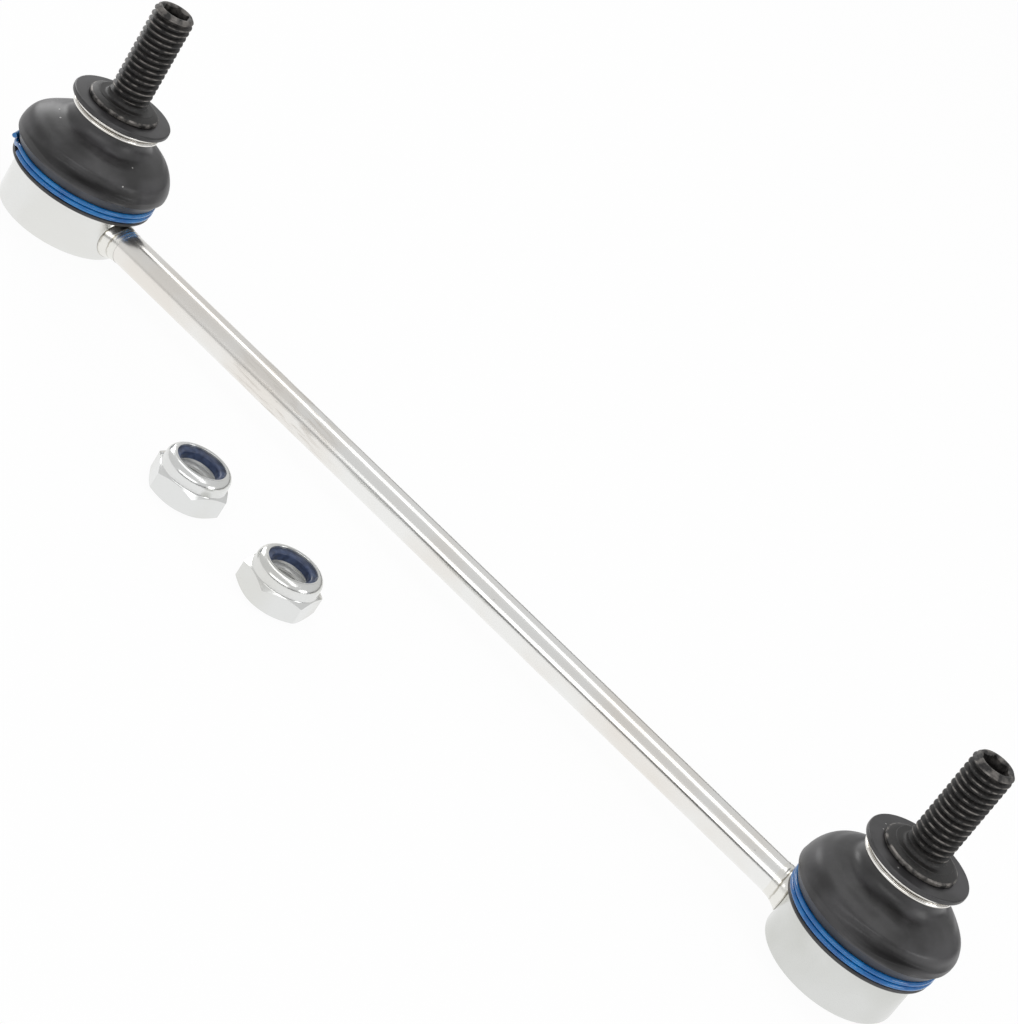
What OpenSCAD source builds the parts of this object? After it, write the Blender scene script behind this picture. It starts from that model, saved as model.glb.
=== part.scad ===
// Stabilizer link: a round rod welded between two ball joints, with two loose lock nuts.
// Origin: centre of the left housing's base. X runs along the rod, Z along the studs.

/* [Link] */
// Distance between the axes of the two ball studs
stud_spacing = 251.5; // [180:0.5:360]
// Diameter of the round rod
rod_d = 8.4; // [7:0.1:9.4]
// Thickness of the weld collar where it meets the housing
weld_rise = 0.3; // [0.2:0.05:0.7]
// Thickness of the weld collar at its outer end
weld_toe = 0.18; // [0.12:0.02:0.3]
// Length of the weld collar along the rod
weld_length = 3.4; // [2:0.1:6]
// Air between the weld collar and the boot lip above it
weld_headroom = 0.1; // [0.1:0.05:0.5]

/* [Ball joint housing] */
// Wall between the bearing shell and the outside of the housing
housing_wall = 5.3; // [4.2:0.1:6]
// Rounding of the housing's lower outer edge
base_round = 1; // [0.6:0.1:2]
// Thickness of the edge rolled over the cover disc
roll_t = 0.9; // [0.6:0.1:1.4]
// Width of the rolled edge over the cover disc
roll_width = 1.9; // [1:0.1:2.6]
// Diameter of the cover disc
cover_d = 24.6; // [23.4:0.1:26]
// Thickness of the cover disc
cover_t = 1.6; // [0.8:0.1:2]
// Depth of the dish pressed in the cover disc
dish_depth = 0.4; // [0.2:0.05:0.6]
// Thickness of the housing's mouth above the bearing shell
mouth_t = 1.6; // [1.5:0.1:2.2]
// Width by which the mouth flares open
mouth_flare = 1.1; // [0.6:0.1:1.6]
// Depth of the boot groove around the housing
groove_depth = 1.2; // [0.9:0.1:1.6]
// Height of the boot groove
groove_h = 3.5; // [3:0.1:4]
// Height of the rounded bead above the boot groove
rim_h = 1.4; // [1.2:0.1:1.8]
// Depth of the bead behind the outside of the housing
rim_inset = 0.5; // [0.3:0.1:0.8]

/* [Bearing shell] */
// Wall of the bearing shell at the ball's equator
shell_wall = 2.7; // [2:0.1:3.4]
// Thickness of the bearing shell under the ball
shell_floor = 1.1; // [0.5:0.05:1.5]
// Height of the shell's lip above the ball's centre
shell_lip = 3; // [2:0.1:3.2]

/* [Ball stud] */
// Diameter of the ball
ball_d = 16; // [15:0.1:18]
// Diameter of the neck above the ball
stud_neck_d = 9.6; // [8:0.1:10]
// Diameter of the shank that carries the boot
shank_d = 14.4; // [12:0.1:15.6]
// Length of the full shank under the collar
shank_length = 8.6; // [7:0.1:9.2]
// Diameter of the collar that clamps on the mating part
collar_d = 17.6; // [16.5:0.1:20]
// Height of the collar's straight edge
collar_edge = 0.9; // [0.5:0.1:1.5]
// Height of the bevel above the collar's edge
collar_bevel = 0.9; // [0.5:0.1:1.4]
// Diameter at the top of the bevel
bevel_d = 14; // [12.5:0.1:15]
// Height of the smooth runout below the thread
runout_h = 0.8; // [0.5:0.1:2]
// Outside diameter of the thread
thread_d = 9.86; // [9.7:0.01:10]
// Length of the threaded end
thread_length = 24.1; // [18:0.1:32]
// Chamfer at the tip of the stud
tip_chamfer = 0.9; // [0.5:0.1:1.2]
// Width across the flats of the hexagon socket in the tip
socket_af = 6; // [5:0.1:6.2]
// Depth of the hexagon socket
socket_depth = 5.6; // [4.5:0.1:8]

/* [Dust boot] */
// Height of the boot from its seat on the housing to its top
boot_h = 21.6; // [20.4:0.1:24]
// Wall of the boot
boot_wall = 1.4; // [1.1:0.1:1.6]
// Distance by which the boot's lower lip stands out from the housing
lip_overhang = 1.85; // [1.4:0.05:2.2]
// Thickness of the boot's lower lip
lip_t = 1; // [0.8:0.05:1.5]
// Height of the conical skirt above the lower clamp ring
skirt_h = 2.5; // [2:0.1:3.2]
// Distance by which the bulge stands out from the lower lip
bulge_overhang = 1.3; // [1.2:0.05:2.5]
// Radius of the bulge's rounding
bulge_round = 7; // [6.4:0.1:7.4]
// Height of the bulge's widest line above the crease
bulge_rise = 0.4; // [0.2:0.1:1.2]
// Diameter of the flange at the top of the boot
flange_d = 24.8; // [24:0.1:28]
// Thickness of the flange at the top of the boot
flange_t = 1.3; // [1:0.1:1.9]
// Rounding of the flange's edge
flange_edge = 0.4; // [0.2:0.05:0.5]
// Rounding between the bulge and the neck
neck_round = 4; // [2:0.1:4.5]
// Distance of the upper clamp ring behind the flange's edge
upper_ring_inset = 1.25; // [0.9:0.05:1.5]

/* [Clamp rings] */
// Wire diameter of the lower clamp ring
lower_wire = 1.2; // [1:0.05:1.3]
// Wire diameter of the upper clamp ring
upper_wire = 1.1; // [0.9:0.05:1.2]
// Distance by which the lower clamp ring stands out from the boot's lip
ring_standout = 0.25; // [0:0.05:0.5]
// Direction of the left lower ring's bent end, seen from above
left_lower_turn = 224; // [0:1:360]
// Direction of the right lower ring's bent end, seen from above
right_lower_turn = 96; // [0:1:360]
// Direction of the left upper ring's bent end, seen from above
left_upper_turn = 128; // [0:1:360]
// Direction of the right upper ring's bent end, seen from above
right_upper_turn = 70; // [0:1:360]
// Distance by which a ring's bent end stands out
tab_reach = 1.2; // [0.5:0.1:2.2]

/* [Lock nuts] */
// Width of the nut across its flats
nut_af = 16; // [15.8:0.1:18]
// Height of the nut
nut_h = 9; // [8.4:0.1:12]
// Height of the nut's hexagon
hex_h = 5.4; // [4.6:0.1:5.8]
// Diameter of the round collar above the hexagon
nut_collar_d = 15.4; // [14.8:0.1:15.8]
// Rounding of the collar's upper edge
nut_collar_round = 1.9; // [1:0.1:2.2]
// Core diameter of the nut's thread
nut_bore_d = 8.5; // [8.3:0.05:8.7]
// Outside diameter of the nylon insert
insert_d = 12.8; // [12:0.1:13.4]
// Hole through the nylon insert
insert_bore_d = 8.9; // [8.7:0.05:9.4]
// Height of the nylon insert
insert_h = 2; // [1.6:0.1:2.4]
// Thickness of the edge crimped over the insert
crimp_t = 0.7; // [0.5:0.1:1]
// Width of the edge crimped over the insert
crimp_width = 0.6; // [0.4:0.1:1]
// Chamfer of the hexagon's corners, measured inwards from the flats
nut_chamfer = 0.2; // [0.1:0.05:0.6]
// Place of the first nut along the rod
nut_1_x = 91; // [60:1:100]
// Distance of the first nut in front of the rod's axis
nut_1_offset = 49; // [40:0.5:90]
// Place of the second nut along the rod
nut_2_x = 123; // [120:1:190]
// Distance of the second nut in front of the rod's axis
nut_2_offset = 52.5; // [40:0.5:90]
// Turn of the first nut about its own axis
nut_1_turn = 12; // [0:1:60]
// Turn of the second nut about its own axis
nut_2_turn = 38; // [0:1:60]

/* [Hidden] */

zinc = "gainsboro";
dark_steel = "dimgray";
rubber = "darkslategray";
blue_wire = "steelblue";
bright_wire = "whitesmoke";
acetal = "ivory";
nylon = "midnightblue";

// Clearance between pieces that seat on each other
fit_gap = 0.06;
// Running clearance around the ball
ball_gap = 0.05;
// Clearance around the wire of a clamp ring in its groove
wire_gap = 0.1;
// Length by which a cut runs past the face that it opens
cut_past = 1;
// Facets of round surfaces
round_fn = 96;

// Heights and radii of one ball joint, from the base of its housing
ball_r = ball_d / 2;
cover_z = roll_t + fit_gap;
shell_z = cover_z + cover_t + fit_gap;
ball_z = shell_z + shell_floor + ball_gap + ball_r;
shell_r = ball_r + shell_wall;
shell_top = ball_z + shell_lip;
housing_r = shell_r + fit_gap + housing_wall;
housing_h = shell_top + fit_gap + mouth_t;
mouth_r = sqrt(pow(ball_r + ball_gap, 2) - pow(shell_lip, 2)) + mouth_flare;
groove_r = housing_r - groove_depth;
rim_r = housing_r - rim_inset;
seat_z = housing_h - rim_h - groove_h;

// Rod and weld collars
rod_r = rod_d / 2;
rod_z = seat_z - weld_headroom - weld_rise - rod_r;

// Boot, from its seat up to the flange
lip_z = seat_z + fit_gap;
lip_r = housing_r + lip_overhang;
coil_lower_h = 2 * (lower_wire + wire_gap) + wire_gap;
coil_upper_h = 2 * (upper_wire + wire_gap) + wire_gap;
lower_groove_z = lip_z + lip_t;
skirt_z = lower_groove_z + coil_lower_h;
crease_z = skirt_z + skirt_h;
bulge_r = lip_r + bulge_overhang;
bulge_z = crease_z + bulge_rise;
bulge_axis_r = bulge_r - bulge_round;
crease_r = bulge_axis_r + sqrt(pow(bulge_round, 2) - pow(bulge_rise, 2));
lower_coil_r = lip_r + ring_standout - lower_wire / 2;
lower_groove_r = lower_coil_r - lower_wire / 2 - wire_gap;
boot_bore_r = groove_r + fit_gap;
boot_top = seat_z + boot_h;
flange_z = boot_top - flange_t;
upper_groove_z = flange_z - coil_upper_h;
upper_coil_r = flange_d / 2 - upper_ring_inset - upper_wire / 2;
upper_groove_r = upper_coil_r - upper_wire / 2 - wire_gap;
shoulder_z = bulge_z + bulge_round;
neck_fillet = min(neck_round, upper_groove_z - shoulder_z);
neck_axis_r = upper_groove_r + neck_fillet;
neck_axis_z = bulge_z + sqrt(pow(bulge_round + neck_fillet, 2) - pow(neck_axis_r - bulge_axis_r, 2));
neck_lean = atan2(neck_axis_z - bulge_z, neck_axis_r - bulge_axis_r);

// Stud, from the ball up to the tip
shank_r = shank_d / 2;
collar_z = boot_top + fit_gap;
shank_z = collar_z - shank_length;
neck_top = shank_z - (shank_d - stud_neck_d) / 2;
bevel_z = collar_z + collar_edge;
runout_z = bevel_z + collar_bevel;
thread_z = runout_z + runout_h;
tip_z = thread_z + thread_length;

// Wire coils: segments to a turn, sides of the wire, crossover and bent end in degrees
coil_steps = 48;
wire_sides = 8;
crossover = 15;
tab_arc = 18;
coil_sweep = 720 - crossover;

// Nut
chamfer_angle = 30;
insert_z = nut_h - crimp_t - insert_h - fit_gap;
crimp_r = insert_d / 2 - crimp_width;

// A solid of revolution about Z from the outline drawn by the children
module turned() {
    rotate_extrude($fn = round_fn)
        children();
}

// Half disc on the outer side of the axis
module half_disc(radius) {
    intersection() {
        circle(radius, $fn = round_fn);
        translate([0, -radius])
            square([radius, 2 * radius]);
    }
}

// Cup with a rounded base, a boot groove and a bead, open at the mouth and at the cover
module housing() {
    color(zinc)
        turned()
            difference() {
                union() {
                    square([housing_r - base_round, seat_z]);
                    translate([0, base_round])
                        square([housing_r, seat_z - base_round]);
                    translate([housing_r - base_round, base_round])
                        circle(base_round, $fn = round_fn);
                    square([groove_r, housing_h]);
                    translate([0, housing_h - rim_h])
                        square([rim_r - rim_h / 2, rim_h]);
                    translate([rim_r - rim_h / 2, housing_h - rim_h / 2])
                        circle(rim_h / 2, $fn = round_fn);
                }
                translate([0, -cut_past])
                    square([cover_d / 2 - roll_width, housing_h]);
                translate([0, roll_t])
                    square([cover_d / 2 + fit_gap, shell_z - roll_t]);
                translate([0, roll_t])
                    square([shell_r + fit_gap, shell_top + fit_gap - roll_t]);
                polygon([
                    [0, shell_top],
                    [mouth_r, shell_top],
                    [mouth_r, shell_top + fit_gap],
                    [mouth_r + mouth_flare, housing_h],
                    [mouth_r + mouth_flare, housing_h + cut_past],
                    [0, housing_h + cut_past]
                ]);
            }
}

// Pressed disc with a shallow dish, held by the rolled edge of the housing
module cover_disc() {
    dish_r = cover_d / 2 - roll_width - dish_depth;
    color(zinc)
        turned()
            difference() {
                translate([0, cover_z])
                    square([cover_d / 2, cover_t]);
                polygon([
                    [0, cover_z - cut_past],
                    [dish_r, cover_z - cut_past],
                    [dish_r, cover_z],
                    [dish_r - dish_depth, cover_z + dish_depth],
                    [0, cover_z + dish_depth]
                ]);
            }
}

// Moulded cup that holds the ball past its equator
module bearing_shell() {
    color(acetal)
        turned()
            difference() {
                translate([0, shell_z])
                    square([shell_r, shell_top - shell_z]);
                translate([0, ball_z])
                    circle(ball_r + ball_gap, $fn = round_fn);
            }
}

// Ball, neck, shank, collar and threaded end in one piece, with a hexagon socket in the tip
module ball_stud() {
    socket_r = socket_af / 2 / cos(30);
    color(dark_steel)
        difference() {
            turned() {
                translate([0, ball_z])
                    half_disc(ball_r);
                polygon([
                    [0, ball_z],
                    [stud_neck_d / 2, ball_z],
                    [stud_neck_d / 2, neck_top],
                    [shank_r, shank_z],
                    [shank_r, collar_z],
                    [collar_d / 2, collar_z],
                    [collar_d / 2, bevel_z],
                    [bevel_d / 2, runout_z],
                    [thread_d / 2, thread_z],
                    [thread_d / 2, tip_z - tip_chamfer],
                    [thread_d / 2 - tip_chamfer, tip_z],
                    [0, tip_z]
                ]);
            }
            translate([0, 0, tip_z - socket_depth])
                cylinder(h = socket_depth + cut_past, r = socket_r, $fn = 6);
        }
}

// Wall of the bulge: a ring of the boot's thickness, kept above the crease and outside its axis
module bulge_section() {
    translate([bulge_axis_r, bulge_z])
        intersection() {
            difference() {
                circle(bulge_round, $fn = round_fn);
                circle(bulge_round - boot_wall, $fn = round_fn);
            }
            translate([0, -bulge_rise])
                square([bulge_round, bulge_round + bulge_rise]);
        }
}

// Hollow flare that sweeps from the top of the bulge up to the neck
module neck_flare_section() {
    difference() {
        polygon([
            [shank_r + fit_gap, shoulder_z - boot_wall],
            [bulge_axis_r, shoulder_z - boot_wall],
            [
                bulge_axis_r + (bulge_round - boot_wall) * cos(neck_lean),
                bulge_z + (bulge_round - boot_wall) * sin(neck_lean)
            ],
            [neck_axis_r, neck_axis_z],
            [shank_r + fit_gap, neck_axis_z]
        ]);
        translate([neck_axis_r, neck_axis_z])
            circle(neck_fillet, $fn = round_fn);
    }
}

// Hollow rubber boot: lip, ring groove, skirt, bulge, neck with ring groove, and flange
module dust_boot() {
    skirt_foot_r = lip_r - wire_gap;
    inner_foot_r = skirt_foot_r - boot_wall;
    inner_crease_r = crease_r - boot_wall;
    neck_bore_r = shank_r + fit_gap;
    groove_top = housing_h - rim_h - fit_gap;
    color(rubber)
        turned() {
            translate([boot_bore_r, lip_z])
                square([lip_r - boot_bore_r - lip_t / 2, lip_t]);
            translate([lip_r - lip_t / 2, lip_z + lip_t / 2])
                circle(lip_t / 2, $fn = round_fn);
            translate([boot_bore_r, lip_z])
                square([lower_groove_r - boot_bore_r, groove_top - lip_z]);
            polygon([
                [inner_foot_r, lower_groove_z],
                [lower_groove_r, lower_groove_z],
                [lower_groove_r, skirt_z],
                [skirt_foot_r, skirt_z],
                [crease_r, crease_z],
                [inner_crease_r, crease_z],
                [inner_foot_r, skirt_z]
            ]);
            bulge_section();
            translate([neck_bore_r, shoulder_z - boot_wall])
                square([bulge_axis_r - neck_bore_r, boot_wall]);
            translate([neck_bore_r, shoulder_z - boot_wall])
                square([upper_groove_r - neck_bore_r, flange_z - shoulder_z + boot_wall]);
            neck_flare_section();
            translate([neck_bore_r, flange_z])
                square([flange_d / 2 - flange_edge - neck_bore_r, flange_t]);
            translate([neck_bore_r, flange_z + flange_edge])
                square([flange_d / 2 - neck_bore_r, flange_t - 2 * flange_edge]);
            for (z = [flange_z + flange_edge, boot_top - flange_edge])
                translate([flange_d / 2 - flange_edge, z])
                    circle(flange_edge, $fn = round_fn);
        }
}

// Rise of the wire along the coil: flat turns joined by one short crossover
function coil_rise(sweep, pitch) =
    let (ramp = min(1, max(0, (sweep - 360 + crossover) / crossover)))
    pitch * ramp * ramp * (3 - 2 * ramp);

// Radius of the wire along the coil: round, with the last stretch bent outwards
function coil_radius(sweep, radius) =
    let (bend = max(0, (sweep - coil_sweep + tab_arc) / tab_arc))
    radius + tab_reach * bend * bend;

// Two-turn ring of round wire, lying on height zero
module wire_coil(radius, wire, turn) {
    pitch = wire + wire_gap;
    steps = round(coil_steps * coil_sweep / 360);
    points = [
        for (i = [0 : steps], j = [0 : wire_sides - 1])
            let (
                sweep = coil_sweep * i / steps,
                side = 360 * (j + 0.5) / wire_sides,
                r = coil_radius(sweep, radius) + wire / 2 * cos(side)
            )
            [
                r * cos(turn + sweep - coil_sweep),
                r * sin(turn + sweep - coil_sweep),
                wire / 2 + coil_rise(sweep, pitch) + wire / 2 * sin(side)
            ]
    ];
    walls = [
        for (i = [0 : steps - 1], j = [0 : wire_sides - 1])
            let (
                k = (j + 1) % wire_sides,
                a = i * wire_sides,
                b = a + wire_sides
            )
            each [[a + j, b + j, b + k], [a + j, b + k, a + k]]
    ];
    first_end = [for (j = [0 : wire_sides - 1]) j];
    last_end = [for (j = [wire_sides - 1 : -1 : 0]) steps * wire_sides + j];
    polyhedron(points, concat(walls, [first_end, last_end]));
}

// Blue spring ring that clamps the boot's lip on the housing
module lower_clamp_ring(turn) {
    color(blue_wire)
        translate([0, 0, lower_groove_z + wire_gap])
            wire_coil(lower_coil_r, lower_wire, turn);
}

// Bright spring ring that clamps the boot's neck on the shank
module upper_clamp_ring(turn) {
    color(bright_wire)
        translate([0, 0, upper_groove_z + wire_gap])
            wire_coil(upper_coil_r, upper_wire, turn);
}

// Tapered ring of weld metal around the rod's end, shaped to the housing's wall
module weld_collar() {
    color(zinc)
        translate([0, 0, rod_z])
            difference() {
                rotate([0, 90, 0])
                    cylinder(
                        h = housing_r + weld_length,
                        r1 = rod_r + weld_rise + (weld_rise - weld_toe) * housing_r / weld_length,
                        r2 = rod_r + weld_toe,
                        $fn = round_fn
                    );
                rotate([0, 90, 0])
                    translate([0, 0, -cut_past])
                        cylinder(
                            h = housing_r + weld_length + 2 * cut_past,
                            r = rod_r + fit_gap,
                            $fn = round_fn
                        );
                cylinder(h = 2 * housing_h, r = housing_r + fit_gap, center = true, $fn = round_fn);
            }
}

// Round bar between the housings, with both ends shaped to their walls
module link_rod() {
    color(zinc)
        difference() {
            translate([0, 0, rod_z])
                rotate([0, 90, 0])
                    cylinder(h = stud_spacing, r = rod_r, $fn = round_fn);
            for (x = [0, stud_spacing])
                translate([x, 0, 0])
                    cylinder(h = housing_h, r = housing_r + fit_gap, $fn = round_fn);
        }
}

// Children moved to the right end of the link
module at_right_end() {
    translate([stud_spacing, 0, 0])
        children();
}

// Hexagon with chamfered corners and a round crimped collar, bored through
module lock_nut() {
    corner_r = nut_af / 2 / cos(30);
    chamfer_r = nut_af / 2 - nut_chamfer;
    chamfer_rise = (corner_r - chamfer_r) * tan(chamfer_angle);
    color(zinc)
        difference() {
            union() {
                intersection() {
                    cylinder(h = hex_h, r = corner_r, $fn = 6);
                    turned()
                        polygon([
                            [0, 0],
                            [chamfer_r, 0],
                            [corner_r, chamfer_rise],
                            [corner_r, hex_h - chamfer_rise],
                            [chamfer_r, hex_h],
                            [0, hex_h]
                        ]);
                }
                turned() {
                    square([nut_collar_d / 2 - nut_collar_round, nut_h]);
                    square([nut_collar_d / 2, nut_h - nut_collar_round]);
                    translate([nut_collar_d / 2 - nut_collar_round, nut_h - nut_collar_round])
                        circle(nut_collar_round, $fn = round_fn);
                }
            }
            translate([0, 0, -cut_past])
                cylinder(h = nut_h, d = nut_bore_d, $fn = round_fn);
            translate([0, 0, insert_z - fit_gap])
                cylinder(h = insert_h + 2 * fit_gap, r = insert_d / 2 + fit_gap, $fn = round_fn);
            translate([0, 0, insert_z])
                cylinder(h = nut_h, r = crimp_r, $fn = round_fn);
        }
}

// Nylon ring trapped under the crimped edge of a nut
module nut_insert() {
    color(nylon)
        translate([0, 0, insert_z])
            difference() {
                cylinder(h = insert_h, d = insert_d, $fn = round_fn);
                translate([0, 0, -cut_past])
                    cylinder(h = insert_h + 2 * cut_past, d = insert_bore_d, $fn = round_fn);
            }
}

// Children standing at a nut's place in front of the rod
module at_nut(x, offset, turn) {
    translate([x, -offset, 0])
        rotate([0, 0, turn])
            children();
}

link_rod();
housing();  // left_housing
cover_disc();  // left_cover_disc
bearing_shell();  // left_bearing_shell
weld_collar();  // left_weld_collar
ball_stud();  // left_ball_stud
dust_boot();  // left_dust_boot
lower_clamp_ring(left_lower_turn);  // left_lower_clamp_ring
upper_clamp_ring(left_upper_turn);  // left_upper_clamp_ring
at_right_end() housing();  // right_housing
at_right_end() cover_disc();  // right_cover_disc
at_right_end() bearing_shell();  // right_bearing_shell
at_right_end() rotate([0, 0, 180]) weld_collar();  // right_weld_collar
at_right_end() ball_stud();  // right_ball_stud
at_right_end() dust_boot();  // right_dust_boot
at_right_end() lower_clamp_ring(right_lower_turn);  // right_lower_clamp_ring
at_right_end() upper_clamp_ring(right_upper_turn);  // right_upper_clamp_ring
at_nut(nut_1_x, nut_1_offset, nut_1_turn) lock_nut();  // lock_nut_1
at_nut(nut_1_x, nut_1_offset, nut_1_turn) nut_insert();  // nut_insert_1
at_nut(nut_2_x, nut_2_offset, nut_2_turn) lock_nut();  // lock_nut_2
at_nut(nut_2_x, nut_2_offset, nut_2_turn) nut_insert();  // nut_insert_2
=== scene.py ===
"""Looks of a stabilizer link: a plated rod between two booted ball joints, with two loose lock nuts."""

import logging
import math
from collections.abc import Callable
from dataclasses import dataclass
from enum import Enum
from functools import cache

import bmesh
import bpy
from bmesh.types import BMEdge, BMesh, BMVert
from mathutils import Matrix, Quaternion, Vector


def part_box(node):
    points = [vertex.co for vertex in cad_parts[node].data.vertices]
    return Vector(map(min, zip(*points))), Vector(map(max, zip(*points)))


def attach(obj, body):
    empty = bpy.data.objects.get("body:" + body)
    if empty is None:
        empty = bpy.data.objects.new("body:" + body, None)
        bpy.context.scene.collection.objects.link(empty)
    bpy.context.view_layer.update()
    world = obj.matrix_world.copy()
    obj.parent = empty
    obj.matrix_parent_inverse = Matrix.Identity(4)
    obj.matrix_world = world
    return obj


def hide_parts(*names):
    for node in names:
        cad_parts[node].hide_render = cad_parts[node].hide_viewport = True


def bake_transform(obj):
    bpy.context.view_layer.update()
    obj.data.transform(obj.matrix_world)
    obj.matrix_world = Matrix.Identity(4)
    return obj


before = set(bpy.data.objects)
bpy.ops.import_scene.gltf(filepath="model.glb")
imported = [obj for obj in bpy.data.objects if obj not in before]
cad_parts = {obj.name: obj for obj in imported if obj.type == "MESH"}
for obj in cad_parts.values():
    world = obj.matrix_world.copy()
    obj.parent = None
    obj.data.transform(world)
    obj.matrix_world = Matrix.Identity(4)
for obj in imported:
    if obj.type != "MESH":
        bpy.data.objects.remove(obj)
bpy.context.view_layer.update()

MM = 0.001
ROUND_STEPS = 96
WELD_DISTANCE = 0.004
SHARP_ANGLE = math.radians(32)
# Name of the boot's vertex layer that holds how much painted shade falls on each point.
FOLD_SHADE = "fold"
LEFT_OUT = 1e6

logging.basicConfig(level=logging.INFO, format="%(message)s")
log = logging.getLogger("stabilizer_link")

Outline = Callable[[float], tuple[float, float]]
Triple = tuple[float, float, float]
Edges = list[BMEdge]
Socket = bpy.types.NodeSocket


class End(Enum):
    """The two ends of the link."""

    LEFT = "left"
    RIGHT = "right"


class Lay(Enum):
    """Direction of the marks that a metal part's making leaves on it."""

    DRAWN = "drawn"
    TURNED = "turned"
    FORMED = "formed"


def linear(code: str) -> tuple[float, float, float, float]:
    """Turn an sRGB hex colour into linear light.

    Args:
        code: Six hex digits.

    Returns:
        Red, green, blue and alpha.
    """
    shares = [int(code[place:place + 2], 16) / 255 for place in (0, 2, 4)]
    light = [s / 12.92 if s <= 0.04045 else ((s + 0.055) / 1.055) ** 2.4 for s in shares]
    return (*light, 1.0)


def per_mm(size: float) -> float:
    """Texture scale at which one feature is this many millimetres wide."""
    return 1 / (size * MM)


@dataclass(frozen=True)
class Board:
    """A node tree that gets shading nodes."""

    tree: bpy.types.NodeTree

    def feed(self, node: bpy.types.Node, inputs: dict) -> None:
        """Link or set a node's inputs.

        Args:
            node: The node to feed.
            inputs: Values or output sockets by input name or number.
        """
        for key, value in inputs.items():
            if isinstance(value, Socket):
                self.tree.links.new(value, node.inputs[key])
            else:
                node.inputs[key].default_value = value

    def add(self, kind: str, inputs: dict | None = None, output: int | str = 0, **settings: str) -> Socket:
        """Add a node with its settings and links.

        Args:
            kind: Blender's name of the node type, after "ShaderNode".
            inputs: Values or output sockets by input name or number.
            output: Name or number of the output to return.
            settings: Attributes of the node.

        Returns:
            The output.
        """
        node = self.tree.nodes.new(f"ShaderNode{kind}")
        for name, value in settings.items():
            setattr(node, name, value)
        self.feed(node, inputs or {})
        return node.outputs[output]

    def distance(self, place: Socket, centre: Triple, unit: Triple) -> Socket:
        """Measure how far each point lies from a centre.

        Args:
            place: Object coordinates.
            centre: The point to measure from, in metres.
            unit: Length of one unit along each axis, in metres, where LEFT_OUT leaves an axis out.

        Returns:
            The distance in units.
        """
        about = {"Vector": place, "Location": centre, "Scale": unit}
        local = self.add("Mapping", about, vector_type="TEXTURE")
        return self.add("VectorMath", {0: local}, "Value", operation="LENGTH")

    def by_ray(self, camera: float, mirrored: float | Socket, other: float) -> Socket:
        """Choose a value by the kind of ray.

        Args:
            camera: Value for the camera, also through clear pieces.
            mirrored: Value for glossy reflections.
            other: Value for all other light.

        Returns:
            The value for the ray.
        """
        path = self.add("LightPath").node.outputs
        straight = {0: path["Is Camera Ray"], 1: path["Is Transmission Ray"]}
        clear = self.add("Math", straight, operation="MAXIMUM")
        rest = self.add("Mix", {0: path["Is Glossy Ray"], 2: other, 3: mirrored}, data_type="FLOAT")
        return self.add("Mix", {0: clear, 2: rest, 3: camera}, data_type="FLOAT")


class Finish:
    """A surface that dresses pieces, with its material's title and a slot name."""

    title: str
    slot: str

    def shade(self, board: Board) -> dict:
        """Set up the surface's nodes.

        Args:
            board: The material's node tree.

        Returns:
            The shader's inputs.
        """
        raise NotImplementedError

    @cache
    def material(self) -> bpy.types.Material:
        """Make the surface's material once.

        Returns:
            The material.
        """
        made = bpy.data.materials.new(self.title)
        made.use_nodes = True
        board = Board(made.node_tree)
        board.feed(made.node_tree.nodes["Principled BSDF"], self.shade(board))
        return made


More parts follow.
